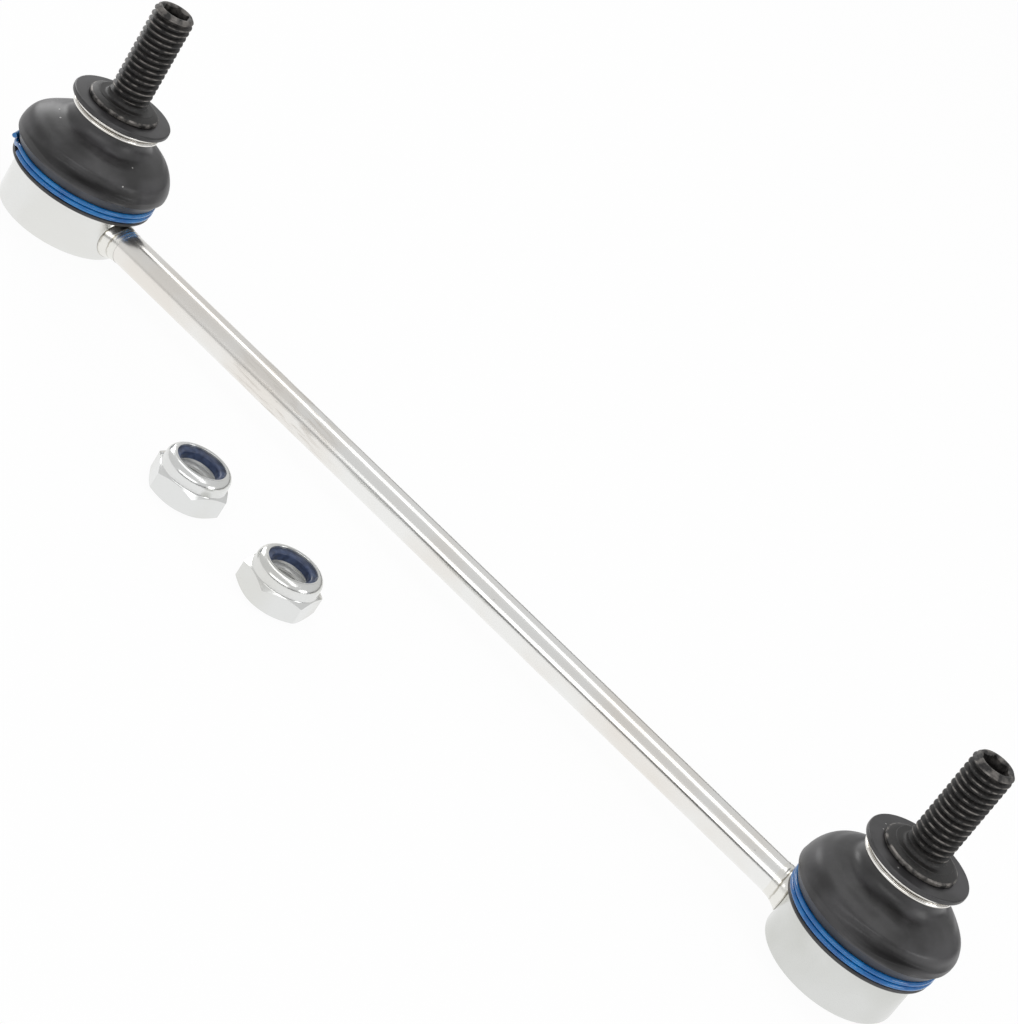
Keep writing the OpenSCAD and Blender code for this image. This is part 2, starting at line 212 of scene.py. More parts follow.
@dataclass(frozen=True)
class ZincPlate(Finish):
    """Steel with bright zinc electroplate and a clear passivate.

    The plate mirrors the studio softly, drifts between a cool and a warm white,
    and keeps the fine marks of the steel under it.
    """

    lay: Lay
    centre: tuple[float, float] = (0.0, 0.0)
    cool: str = "e2e3e2"
    warm: str = "dbdbd7"
    bore_mm: float = 0.0
    bore_shine: float = 0.25
    scuffed_mm: tuple[float, float] | None = None
    scuff: str = "d2cdc6"
    scuff_mm: float = 0.8
    scuff_length_mm: float = 6.0
    scuff_roughness: float = 0.42
    roughness: tuple[float, float] = (0.17, 0.27)
    relief: float = 0.12
    cloud_mm: float = 22.0
    mark_mm: float = 0.35
    mark_length_mm: float = 45.0
    pit_mm: float = 3.5
    pit_share: float = 0.3
    slot: str = "zinc_steel"

    @property
    def title(self) -> str:
        """Name of the material."""
        return f"zinc_plated_steel_{self.lay.value}"

    def shade(self, board: Board) -> dict:
        """Set up clouds, marks, small pits and scuffs.

        Args:
            board: The material's node tree.

        Returns:
            The shader's inputs.
        """
        place = board.add("TexCoord", output="Object")
        reach = board.distance(place, (*self.centre, 0.0), (1.0, 1.0, LEFT_OUT))
        cloud = board.add("TexNoise", {"Vector": place, "Scale": per_mm(self.cloud_mm), "Detail": 3.0})
        stretched = self.along_marks(board, place, reach)
        marks = board.add("TexNoise", {"Vector": stretched, "Scale": 1.0, "Detail": 4.0})
        tone = board.add("MapRange", {"Value": cloud, "From Min": 0.38, "From Max": 0.62})
        tint = board.add("Mix", {0: tone, 6: linear(self.cool), 7: linear(self.warm)}, 2, data_type="RGBA")
        cells = board.add("TexVoronoi", {"Vector": place, "Scale": per_mm(self.pit_mm)}).node.outputs
        edge = {"From Min": 0.025, "From Max": 0.06}
        hollow = board.add("MapRange", {"Value": cells["Distance"], **edge, "To Min": 0.6})
        smooth = board.add("Math", {0: cells["Color"], 1: self.pit_share}, operation="GREATER_THAN")
        pit = board.add("Math", {0: hollow, 1: smooth}, operation="MAXIMUM")
        colour = board.add("Mix", {0: 1.0, 6: tint, 7: pit}, 2, data_type="RGBA", blend_type="MULTIPLY")
        low, high = self.roughness
        span = {"From Min": 0.3, "From Max": 0.7, "To Min": low, "To Max": high}
        rough = board.add("MapRange", {"Value": marks, **span})
        relief = board.add("Bump", {"Height": marks, "Strength": self.relief, "Distance": 0.02 * MM})
        metallic = 1.0
        if self.scuffed_mm:
            scuffs = self.scuffs(board, place)
            colour = board.add("Mix", {0: scuffs, 6: colour, 7: linear(self.scuff)}, 2, data_type="RGBA")
            rough = board.add("Mix", {0: scuffs, 2: rough, 3: self.scuff_roughness}, data_type="FLOAT")
        if self.bore_mm:
            # The plate is thin and dull inside a bore, which therefore scatters light.
            wall = {"From Min": self.bore_mm * MM, "From Max": (self.bore_mm + 0.2) * MM}
            metallic = board.add("MapRange", {"Value": reach, **wall, "To Min": self.bore_shine})
        return {"Base Color": colour, "Metallic": metallic, "Roughness": rough, "Normal": relief}

    def scuffs(self, board: Board, place: Socket) -> Socket:
        """Scatter scuffs over a stretch of the part, long ways along it and fading at both ends.

        Args:
            board: The material's node tree.
            place: Object coordinates.

        Returns:
            The share of scuffed plate.
        """
        start, end = self.scuffed_mm
        middle, half = (start + end) / 2 * MM, (end - start) / 2 * MM
        away = board.distance(place, (middle, 0.0, 0.0), (half, LEFT_OUT, LEFT_OUT))
        within = board.add("MapRange", {"Value": away, "From Min": 0.4, "To Min": 1.0, "To Max": 0.0})
        size = (self.scuff_length_mm * MM, self.scuff_mm * MM, self.scuff_mm * MM)
        stretched = board.add("Mapping", {"Vector": place, "Scale": size}, vector_type="TEXTURE")
        flecks = board.add("TexNoise", {"Vector": stretched, "Scale": 1.0, "Detail": 3.0})
        rubbed = board.add("MapRange", {"Value": flecks, "From Min": 0.5, "From Max": 0.7})
        return board.add("Math", {0: within, 1: rubbed}, operation="MULTIPLY")

    def along_marks(self, board: Board, place: Socket, reach: Socket) -> Socket:
        """Stretch coordinates along the marks that the part's making left.

        Args:
            board: The material's node tree.
            place: Object coordinates.
            reach: Distance from the part's own axis.

        Returns:
            Coordinates with one unit to a mark.
        """
        about = {"Vector": place, "Location": (*self.centre, 0.0)}
        local = board.add("Mapping", about, vector_type="TEXTURE")
        if self.lay is Lay.TURNED:
            height = board.add("SeparateXYZ", {0: local}, "Z")
            local = board.add("CombineXYZ", {"X": reach, "Z": height})
        length = self.mark_length_mm if self.lay is Lay.DRAWN else self.mark_mm
        size = (length * MM, self.mark_mm * MM, self.mark_mm * MM)
        return board.add("Mapping", {"Vector": local, "Scale": size}, vector_type="TEXTURE")


@dataclass(frozen=True)
class WeldMetal(Finish):
    """Weld metal under zinc plate: as bright as the plate, with thin brown lines along its toes."""

    axis: tuple[float, float]
    toes: tuple[float, ...]
    height: float
    title: str = "zinc_plated_weld"
    slot: str = "weld_steel"
    bright: str = "eae9e4"
    tinted: str = "7d755f"
    ripple_mm: float = 1.1
    toe_mm: float = 0.3
    wander_mm: float = 0.4
    shaded_mm: float = 3.0

    def shade(self, board: Board) -> dict:
        """Set up ripples and the tinted toes, which fade on the underside.

        Args:
            board: The material's node tree.

        Returns:
            The shader's inputs.
        """
        place = board.add("TexCoord", output="Object")
        ripple = board.add("TexNoise", {"Vector": place, "Scale": per_mm(self.ripple_mm), "Detail": 3.0})
        reach = board.distance(place, (*self.axis, 0.0), (MM, MM, LEFT_OUT))
        both_ways = {0: ripple, 1: 2 * self.wander_mm, 2: -self.wander_mm}
        wander = board.add("Math", both_ways, operation="MULTIPLY_ADD")
        edge = board.add("Math", {0: reach, 1: wander}, operation="ADD")
        fade = {"From Max": self.toe_mm, "To Min": 1.0, "To Max": 0.0}
        toe_lines = 0.0
        for toe in self.toes:
            away = board.add("Math", {0: edge, 1: toe}, operation="SUBTRACT")
            gap = board.add("Math", {0: away}, operation="ABSOLUTE")
            line = board.add("MapRange", {"Value": gap, **fade})
            toe_lines = board.add("Math", {0: toe_lines, 1: line}, operation="MAXIMUM")
        # The brown lines are fainter below the weld's height and full on top.
        level = board.add("SeparateXYZ", {0: place}, "Z")
        low, high = (self.height - self.shaded_mm) * MM, (self.height + self.shaded_mm) * MM
        topside = board.add("MapRange", {"Value": level, "From Min": low, "From Max": high, "To Min": 0.3})
        brown_lines = board.add("Math", {0: toe_lines, 1: topside}, operation="MULTIPLY")
        bright, brown = linear(self.bright), linear(self.tinted)
        tint = board.add("Mix", {0: brown_lines, 6: bright, 7: brown}, 2, data_type="RGBA")
        relief = board.add("Bump", {"Height": ripple, "Strength": 0.2, "Distance": 0.08 * MM})
        return {"Base Color": tint, "Metallic": 1.0, "Roughness": 0.24, "Normal": relief}


@dataclass(frozen=True)
class PhosphatedSteel(Finish):
    """Forged steel with a dark oiled phosphate coat.

    The coat is a fine dry crystal that looks nearly black, and it is rubbed lighter
    on the crests of the thread, on the collar's edge and at the tip.
    """

    axis: tuple[float, float]
    crest_r: float
    collar_r: float
    thread_z: float
    tip_z: float
    title: str = "phosphated_steel"
    slot: str = "dark_steel"
    deep: str = "0e0d0d"
    dry: str = "272523"
    rubbed: str = "8d8985"
    crystal_mm: float = 0.5
    wear_mm: float = 1.8
    rub_depth: float = 0.13
    edge_depth: float = 0.4
    tip_depth: float = 2.2
    tip_rub: float = 0.8

    def shade(self, board: Board) -> dict:
        """Set up crystals and rubbed edges.

        Args:
            board: The material's node tree.

        Returns:
            The shader's inputs.
        """
        place = board.add("TexCoord", output="Object")
        # Crystals are about 0.02 mm wide, and are drawn coarser so that they show.
        crystal = board.add("TexNoise", {"Vector": place, "Scale": per_mm(self.crystal_mm), "Detail": 5.0})
        grain = board.add("MapRange", {"Value": crystal, "From Min": 0.4, "From Max": 0.68})
        coat = board.add("Mix", {0: grain, 6: linear(self.deep), 7: linear(self.dry)}, 2, data_type="RGBA")
        patchy = board.add("TexNoise", {"Vector": place, "Scale": per_mm(self.wear_mm), "Detail": 3.0})
        worn = board.add("MapRange", {"Value": patchy, "From Min": 0.42, "From Max": 0.64})
        rub = board.add("Math", {0: self.edges(board, place), 1: worn}, operation="MULTIPLY")
        colour = board.add("Mix", {0: rub, 6: coat, 7: linear(self.rubbed)}, 2, data_type="RGBA")
        rough = board.add("MapRange", {"Value": crystal, "To Min": 0.36, "To Max": 0.62})
        relief = board.add("Bump", {"Height": crystal, "Strength": 0.25, "Distance": 0.05 * MM})
        return {"Base Color": colour, "Metallic": rub, "Roughness": rough, "Normal": relief}

    def edges(self, board: Board, place: Socket) -> Socket:
        """Find the thread's crests, the collar's edge and the tip.

        Args:
            board: The material's node tree.
            place: Object coordinates.

        Returns:
            How much of the coat is open to rubbing.
        """
        reach = board.distance(place, (*self.axis, 0.0), (MM, MM, LEFT_OUT))
        outer, collar = (
            board.add("Math", {0: reach, 1: edge, 2: depth}, operation="COMPARE")
            for edge, depth in ((self.crest_r, self.rub_depth), (self.collar_r, self.edge_depth))
        )
        height = board.add("SeparateXYZ", {0: place}, "Z")
        threaded = board.add("Math", {0: height, 1: self.thread_z * MM}, operation="GREATER_THAN")
        crest = board.add("Math", {0: outer, 1: threaded}, operation="MULTIPLY")
        start = (self.tip_z - self.tip_depth) * MM
        below = board.add("MapRange", {"Value": height, "From Min": start, "From Max": self.tip_z * MM})
        tip = board.add("Math", {0: below, 1: self.tip_rub}, operation="MULTIPLY")
        turned = board.add("Math", {0: crest, 1: collar}, operation="MAXIMUM")
        return board.add("Math", {0: turned, 1: tip}, operation="MAXIMUM")


@dataclass(frozen=True)
class BootRubber(Finish):
    """Moulded chloroprene rubber: near black and satin, with a few specks of dust.

    A faint grey bloom lies on it, and in the folds painted shade darkens it and dims its specular
    reflection.
    """

    title: str = "chloroprene_rubber"
    slot: str = "boot_rubber"
    deep: str = "191819"
    bloom: str = "373638"
    # Colour of the painted shade in the folds.
    painted_shade: str = "0f0e0f"
    dust: str = "a9a8a6"
    cloud_mm: float = 8.0
    pebble_mm: float = 0.45
    dust_mm: float = 5.5
    index: float = 1.58

    def shade(self, board: Board) -> dict:
        """Set up bloom, painted shade in the folds, moulded grain and dust.

        Args:
            board: The material's node tree.

        Returns:
            The shader's inputs.
        """
        place = board.add("TexCoord", output="Object")
        cloud = board.add("TexNoise", {"Vector": place, "Scale": per_mm(self.cloud_mm), "Detail": 3.0})
        haze = board.add("MapRange", {"Value": cloud, "From Min": 0.4, "From Max": 0.66})
        deep, bloom = linear(self.deep), linear(self.bloom)
        rubber = board.add("Mix", {0: haze, 6: deep, 7: bloom}, 2, data_type="RGBA")
        # The fold layer tells where painted shade falls: it darkens the rubber there and turns its specular
        # level down.
        fold = board.add("Attribute", output="Fac", attribute_name=FOLD_SHADE)
        fold_shaded = board.add("Mix", {0: fold, 6: rubber, 7: linear(self.painted_shade)}, 2, data_type="RGBA")
        sheen = board.add("MapRange", {"Value": fold, "To Min": 0.5, "To Max": 0.12})
        away = board.add("TexVoronoi", {"Vector": place, "Scale": per_mm(self.dust_mm)}, "Distance")
        span = {"From Min": 0.03, "From Max": 0.045, "To Min": 1.0, "To Max": 0.0}
        speck = board.add("MapRange", {"Value": away, **span})
        colour = board.add("Mix", {0: speck, 6: fold_shaded, 7: linear(self.dust)}, 2, data_type="RGBA")
        pebble = board.add("TexNoise", {"Vector": place, "Scale": per_mm(self.pebble_mm), "Detail": 2.0})
        rough = board.add("MapRange", {"Value": cloud, "To Min": 0.32, "To Max": 0.46})
        relief = board.add("Bump", {"Height": pebble, "Strength": 0.16, "Distance": 0.04 * MM})
        gloss = {"Roughness": rough, "IOR": self.index, "Specular IOR Level": sheen}
        return {"Base Color": colour, "Normal": relief, **gloss}


@dataclass(frozen=True)
class Clouded(Finish):
    """A smooth surface whose tone and gloss drift slowly between two values."""

    title: str
    slot: str
    tones: tuple[str, str]
    drift_mm: float
    roughness: tuple[float, float]
    contrast: tuple[float, float] = (0.36, 0.64)
    detail: float = 3.0
    metallic: float = 0.0
    index: float | None = None

    def shade(self, board: Board) -> dict:
        """Set up the drifting tone.

        Args:
            board: The material's node tree.

        Returns:
            The shader's inputs.
        """
        place = board.add("TexCoord", output="Object")
        scale = per_mm(self.drift_mm)
        drift = board.add("TexNoise", {"Vector": place, "Scale": scale, "Detail": self.detail})
        start, end = self.contrast
        tone = board.add("MapRange", {"Value": drift, "From Min": start, "From Max": end})
        first, second = (linear(code) for code in self.tones)
        colour = board.add("Mix", {0: tone, 6: first, 7: second}, 2, data_type="RGBA")
        low, high = self.roughness
        rough = board.add("MapRange", {"Value": drift, "To Min": low, "To Max": high})
        bend = {"IOR": self.index} if self.index else {}
        return {"Base Color": colour, "Metallic": self.metallic, "Roughness": rough, **bend}


# Spring wire with a glossy blue coating that is slightly uneven in depth.
BLUE_COAT = Clouded(
    "blue_coated_wire", "blue_wire", ("0a5496", "1d75b6"), drift_mm=5.0, roughness=(0.05, 0.14), index=1.58
)
# Bright drawn spring wire with dull patches.
DRAWN_WIRE = Clouded(
    "bright_drawn_wire", "bright_wire", ("f4f2ee", "e0dcd5"), drift_mm=6.0, roughness=(0.12, 0.24),
    contrast=(0.42, 0.7), detail=4.0, metallic=1.0,
)
# Ivory bearing plastic and blue-grey nut plastic, both with a soft sheen.
ACETAL = Clouded("moulded_acetal", "acetal", ("ddd6c4", "ece7da"), drift_mm=1.6, roughness=(0.3, 0.42))
NYLON = Clouded("moulded_nylon", "nylon", ("28344f", "414f6e"), drift_mm=1.6, roughness=(0.26, 0.4))


class Pen:
    """Draws the half section of a turned piece in the XZ plane and turns it about Z, in millimetres."""

    def __init__(self, radius: float, height: float) -> None:
        """Put the pen down.

        Args:
            radius: Distance from the axis.
            height: Height along the axis.
        """
        self.shape = bmesh.new()
        self.start = bmesh.ops.create_vert(self.shape, co=(radius, 0.0, height))["vert"][0]
        self.tip = self.start

    def line(self, radius: float, height: float) -> "Pen":
        """Draw a straight line.

        Args:
            radius: Distance of its end from the axis.
            height: Height of its end.

        Returns:
            The pen.
        """
        self.tip = bmesh.ops.extrude_vert_indiv(self.shape, verts=[self.tip])["verts"][0]
        self.tip.co = (radius, 0.0, height)
        return self

    def arc(self, radius: float, height: float, sweep: float, steps: int) -> "Pen":
        """Draw an arc about a centre.

        Args:
            radius: Distance of the centre from the axis.
            height: Height of the centre.
            sweep: Degrees to turn, positive from outwards to upwards.
            steps: Number of straight steps.

        Returns:
            The pen.
        """
        made = bmesh.ops.spin(
            self.shape, geom=[self.tip], cent=(radius, 0.0, height), axis=(0.0, -1.0, 0.0),
            angle=math.radians(sweep), steps=steps,
        )
        self.tip = next(item for item in made["geom_last"] if isinstance(item, BMVert))
        return self

    def close(self) -> "Pen":
        """Join the end of the section to its start."""
        bmesh.ops.contextual_create(self.shape, geom=[self.tip, self.start])
        return self

    def turn(self) -> BMesh:
        """Turn the section about Z.

        Returns:
            The turned shape.
        """
        bmesh.ops.spin(
            self.shape, geom=self.shape.verts[:] + self.shape.edges[:], cent=(0.0, 0.0, 0.0),
            axis=(0.0, 0.0, 1.0), angle=math.tau, steps=ROUND_STEPS, use_merge=True,
        )
        return joined(self.shape)


def joined(shape: BMesh) -> BMesh:
    """Merge doubled vertices and point the faces outwards.

    Args:
        shape: The shape to clean.

    Returns:
        The same shape.
    """
    bmesh.ops.remove_doubles(shape, verts=shape.verts, dist=WELD_DISTANCE)
    bmesh.ops.recalc_face_normals(shape, faces=shape.faces)
    return shape


class RingStack:
    """Closed rings about Z, each extruded from the one before, in millimetres."""

    def __init__(self, shape: BMesh, segments: int, outline: Outline) -> None:
        """Draw the first ring.

        Args:
            shape: The shape that gets the rings.
            segments: Number of vertices in a ring.
            outline: Radius and height of the ring at an angle.
        """
        self.shape = shape
        made = bmesh.ops.create_circle(shape, segments=segments, radius=1.0)
        self.rim = list({edge for vertex in made["verts"] for edge in vertex.link_edges})
        self.first = self.rim
        self.settle(outline)

    def settle(self, outline: Outline) -> None:
        """Move the rim to an outline.

        Args:
            outline: Radius and height of the ring at an angle.
        """
        for vertex in {vertex for edge in self.rim for vertex in edge.verts}:
            angle = math.atan2(vertex.co.y, vertex.co.x)
            radius, height = outline(angle)
            vertex.co = (radius * math.cos(angle), radius * math.sin(angle), height)

    def grow(self, outline: Outline) -> "RingStack":
        """Extrude the rim to a new outline.

        Args:
            outline: Radius and height of the new ring at an angle.

        Returns:
            The stack.
        """
        made = bmesh.ops.extrude_edge_only(self.shape, edges=self.rim)["geom"]
        fresh = {item for item in made if isinstance(item, BMVert)}
        self.rim = [item for item in made if isinstance(item, BMEdge) and set(item.verts) <= fresh]
        self.settle(outline)
        return self

    def to(self, radius: float, height: float) -> "RingStack":
        """Extrude the rim to a level circle of a radius at a height."""
        return self.grow(lambda angle: (radius, height))

    def quarter(self, radius: float, height: float, size: float, start: float, steps: int) -> "RingStack":
        """Extrude the rim along a quarter of a circle.

        Args:
            radius: Distance of the quarter's centre from the axis.
            height: Height of the centre.
            size: Radius of the quarter.
            start: Degrees up from outwards at which it starts.
            steps: Number of rings.

        Returns:
            The stack.
        """
        for step in range(1, steps + 1):
            lean = math.radians(start + 90 * step / steps)
            self.to(radius + size * math.cos(lean), height + size * math.sin(lean))
        return self

    def bridge(self, edges: Edges) -> None:
        """Join the rim to another loop of edges."""
        bmesh.ops.bridge_loops(self.shape, edges=self.rim + edges)


@dataclass(frozen=True)
class Thread:
    """A single-start screw thread about Z, in millimetres."""

    pitch: float
    root_r: float
    crest_r: float
    low: float
    high: float
    root_flat: float = 0.3
    crest_flat: float = 0.2
    steps: int = 48

    def cut(self, shape: BMesh, limit: Callable[[float, float], float]) -> tuple[Edges, Edges]:
        """Wind the thread's surface and trim it level.

        Args:
            shape: The shape that gets the thread.
            limit: Radius after trimming, from a radius and a height.

        Returns:
            The edges of its lower and of its upper end.
        """
        flank = (self.pitch - self.root_flat - self.crest_flat) / 2
        bottom = self.low - 2 * self.pitch
        corners = (
            (self.root_r, self.root_flat), (self.crest_r, self.root_flat + flank),
            (self.crest_r, self.root_flat + flank + self.crest_flat), (self.root_r, self.pitch),
        )
        pen = Pen(self.root_r, bottom)
        for radius, rise in corners:
            pen.line(radius, bottom + rise)
        wound = pen.shape
        turns = math.ceil((self.high - bottom) / self.pitch)
        bmesh.ops.spin(
            wound, geom=wound.verts[:] + wound.edges[:], cent=(0.0, 0.0, 0.0), axis=(0.0, 0.0, 1.0),
            dvec=(0.0, 0.0, self.pitch / self.steps), angle=math.tau * turns, steps=self.steps * turns,
        )
        joined(wound)
        for height, facing in ((self.low, -1.0), (self.high, 1.0)):
            everything = wound.verts[:] + wound.edges[:] + wound.faces[:]
            bmesh.ops.bisect_plane(
                wound, geom=everything, dist=1e-4, plane_co=(0.0, 0.0, height),
                plane_no=(0.0, 0.0, facing), clear_outer=True,
            )
        for vertex in wound.verts:
            radius = math.hypot(vertex.co.x, vertex.co.y)
            share = limit(radius, vertex.co.z) / radius
            vertex.co.x *= share
            vertex.co.y *= share
        joined(wound)
        carrier = bpy.data.meshes.new("thread")
        wound.to_mesh(carrier)
        wound.free()
        shape.from_mesh(carrier)
        bpy.data.meshes.remove(carrier)
        ends = [edge for edge in shape.edges if edge.is_boundary]
        middle = (self.low + self.high) / 2
        low_end = [edge for edge in ends if edge.verts[0].co.z < middle]
        high_end = [edge for edge in ends if edge.verts[0].co.z > middle]
        return low_end, high_end


def hexagon(across: float, turn: float = 0.0) -> Callable[[float], float]:
    """Radius of a hexagon at an angle.

    Args:
        across: Width across the flats.
        turn: Turn of the hexagon in degrees.

    Returns:
        A function from an angle to a radius.
    """
    sixth = math.tau / 6
    return lambda angle: across / 2 / math.cos((angle - math.radians(turn)) % sixth - sixth / 2)


def publish(shape: BMesh, name: str, finish: Finish, node: str, place: Vector) -> bpy.types.Object:
    """Turn a shape in millimetres into a dressed piece that stands for a CAD node.

    Args:
        shape: The shape about its own origin.
        name: Name of the piece.
        finish: Its surface.
        node: The CAD node that it stands for.
        place: Where its origin goes, in millimetres.

    Returns:
        The piece.
    """
    bmesh.ops.translate(shape, vec=place, verts=shape.verts)
    bmesh.ops.scale(shape, vec=(MM, MM, MM), verts=shape.verts)
    bmesh.ops.recalc_face_normals(shape, faces=shape.faces)
    mesh = bpy.data.meshes.new(name)
    shape.to_mesh(mesh)
    shape.free()
    mesh.shade_smooth()
    mesh.set_sharp_from_angle(angle=SHARP_ANGLE)
    mesh.materials.append(finish.material())
    piece = bpy.data.objects.new(name, mesh)
    bpy.context.scene.collection.objects.link(piece)
    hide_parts(node)
    log.info("%s: %d faces, stands for %s", name, len(mesh.polygons), node)
    return piece


@dataclass(frozen=True)
class Housing:
    """Plated cup that holds the ball, with a cover disc rolled in from below. Heights start at its base."""

    ball_d: float = 16.0
    shell_wall: float = 2.7
    shell_floor: float = 1.1
    shell_lip: float = 3.0
    wall: float = 5.3
    base_round: float = 1.0
    roll_t: float = 0.9
    roll_width: float = 1.9
    cover_d: float = 24.6
    cover_t: float = 1.6
    dish_depth: float = 0.4
    dimple_r: float = 2.46
    mouth_t: float = 1.6
    mouth_flare: float = 1.1
    groove_depth: float = 1.2
    groove_h: float = 3.5
    rim_h: float = 1.4
    rim_inset: float = 0.5
    edge_round: float = 0.3
    fit_gap: float = 0.06
    ball_gap: float = 0.05

    @property
    def cover_z(self) -> float:
        """Height of the cover disc's lower face."""
        return self.roll_t + self.fit_gap

    @property
    def shell_z(self) -> float:
        """Height of the bearing shell's lower face."""
        return self.cover_z + self.cover_t + self.fit_gap

    @property
    def ball_z(self) -> float:
        """Height of the ball's centre."""
        return self.shell_z + self.shell_floor + self.ball_gap + self.ball_d / 2

    @property
    def shell_top(self) -> float:
        """Height of the bearing shell's lip."""
        return self.ball_z + self.shell_lip

    @property
    def bore_r(self) -> float:
        """Radius of the bore around the bearing shell."""
        return self.ball_d / 2 + self.shell_wall + self.fit_gap

    @property
    def outer_r(self) -> float:
        """Radius of the outside wall."""
        return self.bore_r + self.wall

    @property
    def top(self) -> float:
        """Height of the housing."""
        return self.shell_top + self.fit_gap + self.mouth_t

    @property
    def seat_z(self) -> float:
        """Height of the boot's seat."""
        return self.top - self.rim_h - self.groove_h

    @property
    def groove_r(self) -> float:
        """Radius at the bottom of the boot groove."""
        return self.outer_r - self.groove_depth

    def cup(self) -> BMesh:
        """Shape the cup.

        Returns:
            The turned cup.
        """
        edge = self.edge_round
        roll_r = self.cover_d / 2 - self.roll_width
        rim_axis = self.outer_r - self.rim_inset - self.rim_h / 2
        mouth_r = math.sqrt((self.ball_d / 2 + self.ball_gap) ** 2 - self.shell_lip ** 2) + self.mouth_flare
        ledge = self.shell_top + self.fit_gap
        pen = Pen(roll_r, edge).arc(roll_r + edge, edge, 90, 4)
        pen.line(self.outer_r - self.base_round, 0.0)
        pen.arc(self.outer_r - self.base_round, self.base_round, 90, 10)
        pen.line(self.outer_r, self.seat_z - edge)
        pen.arc(self.outer_r - edge, self.seat_z - edge, 90, 4)
        pen.line(self.groove_r, self.seat_z).line(self.groove_r, self.top - self.rim_h)
        pen.line(rim_axis, self.top - self.rim_h).arc(rim_axis, self.top - self.rim_h / 2, 180, 12)
        pen.line(mouth_r + self.mouth_flare, self.top).line(mouth_r, ledge).line(self.bore_r, ledge)
        pen.line(self.bore_r, self.shell_z).line(self.cover_d / 2 + self.fit_gap, self.shell_z)
        pen.line(self.cover_d / 2 + self.fit_gap, self.roll_t).line(roll_r, self.roll_t)
        return pen.close().turn()

    def cover(self) -> BMesh:
        """Shape the cover disc with its dish and a low centre dimple.

        Returns:
            The turned disc.
        """
        edge = self.edge_round
        dish_r = self.cover_d / 2 - self.roll_width - self.dish_depth
        floor = self.cover_z + self.dish_depth
        low = floor - edge / 2
        pen = Pen(0.0, low).line(self.dimple_r - edge, low).line(self.dimple_r, floor)
        pen.line(dish_r - self.dish_depth - edge, floor).line(dish_r - self.dish_depth, floor - edge / 4)
        pen.line(dish_r, self.cover_z)
        pen.line(self.cover_d / 2, self.cover_z).line(self.cover_d / 2, self.cover_z + self.cover_t)
        return pen.line(0.0, self.cover_z + self.cover_t).turn()


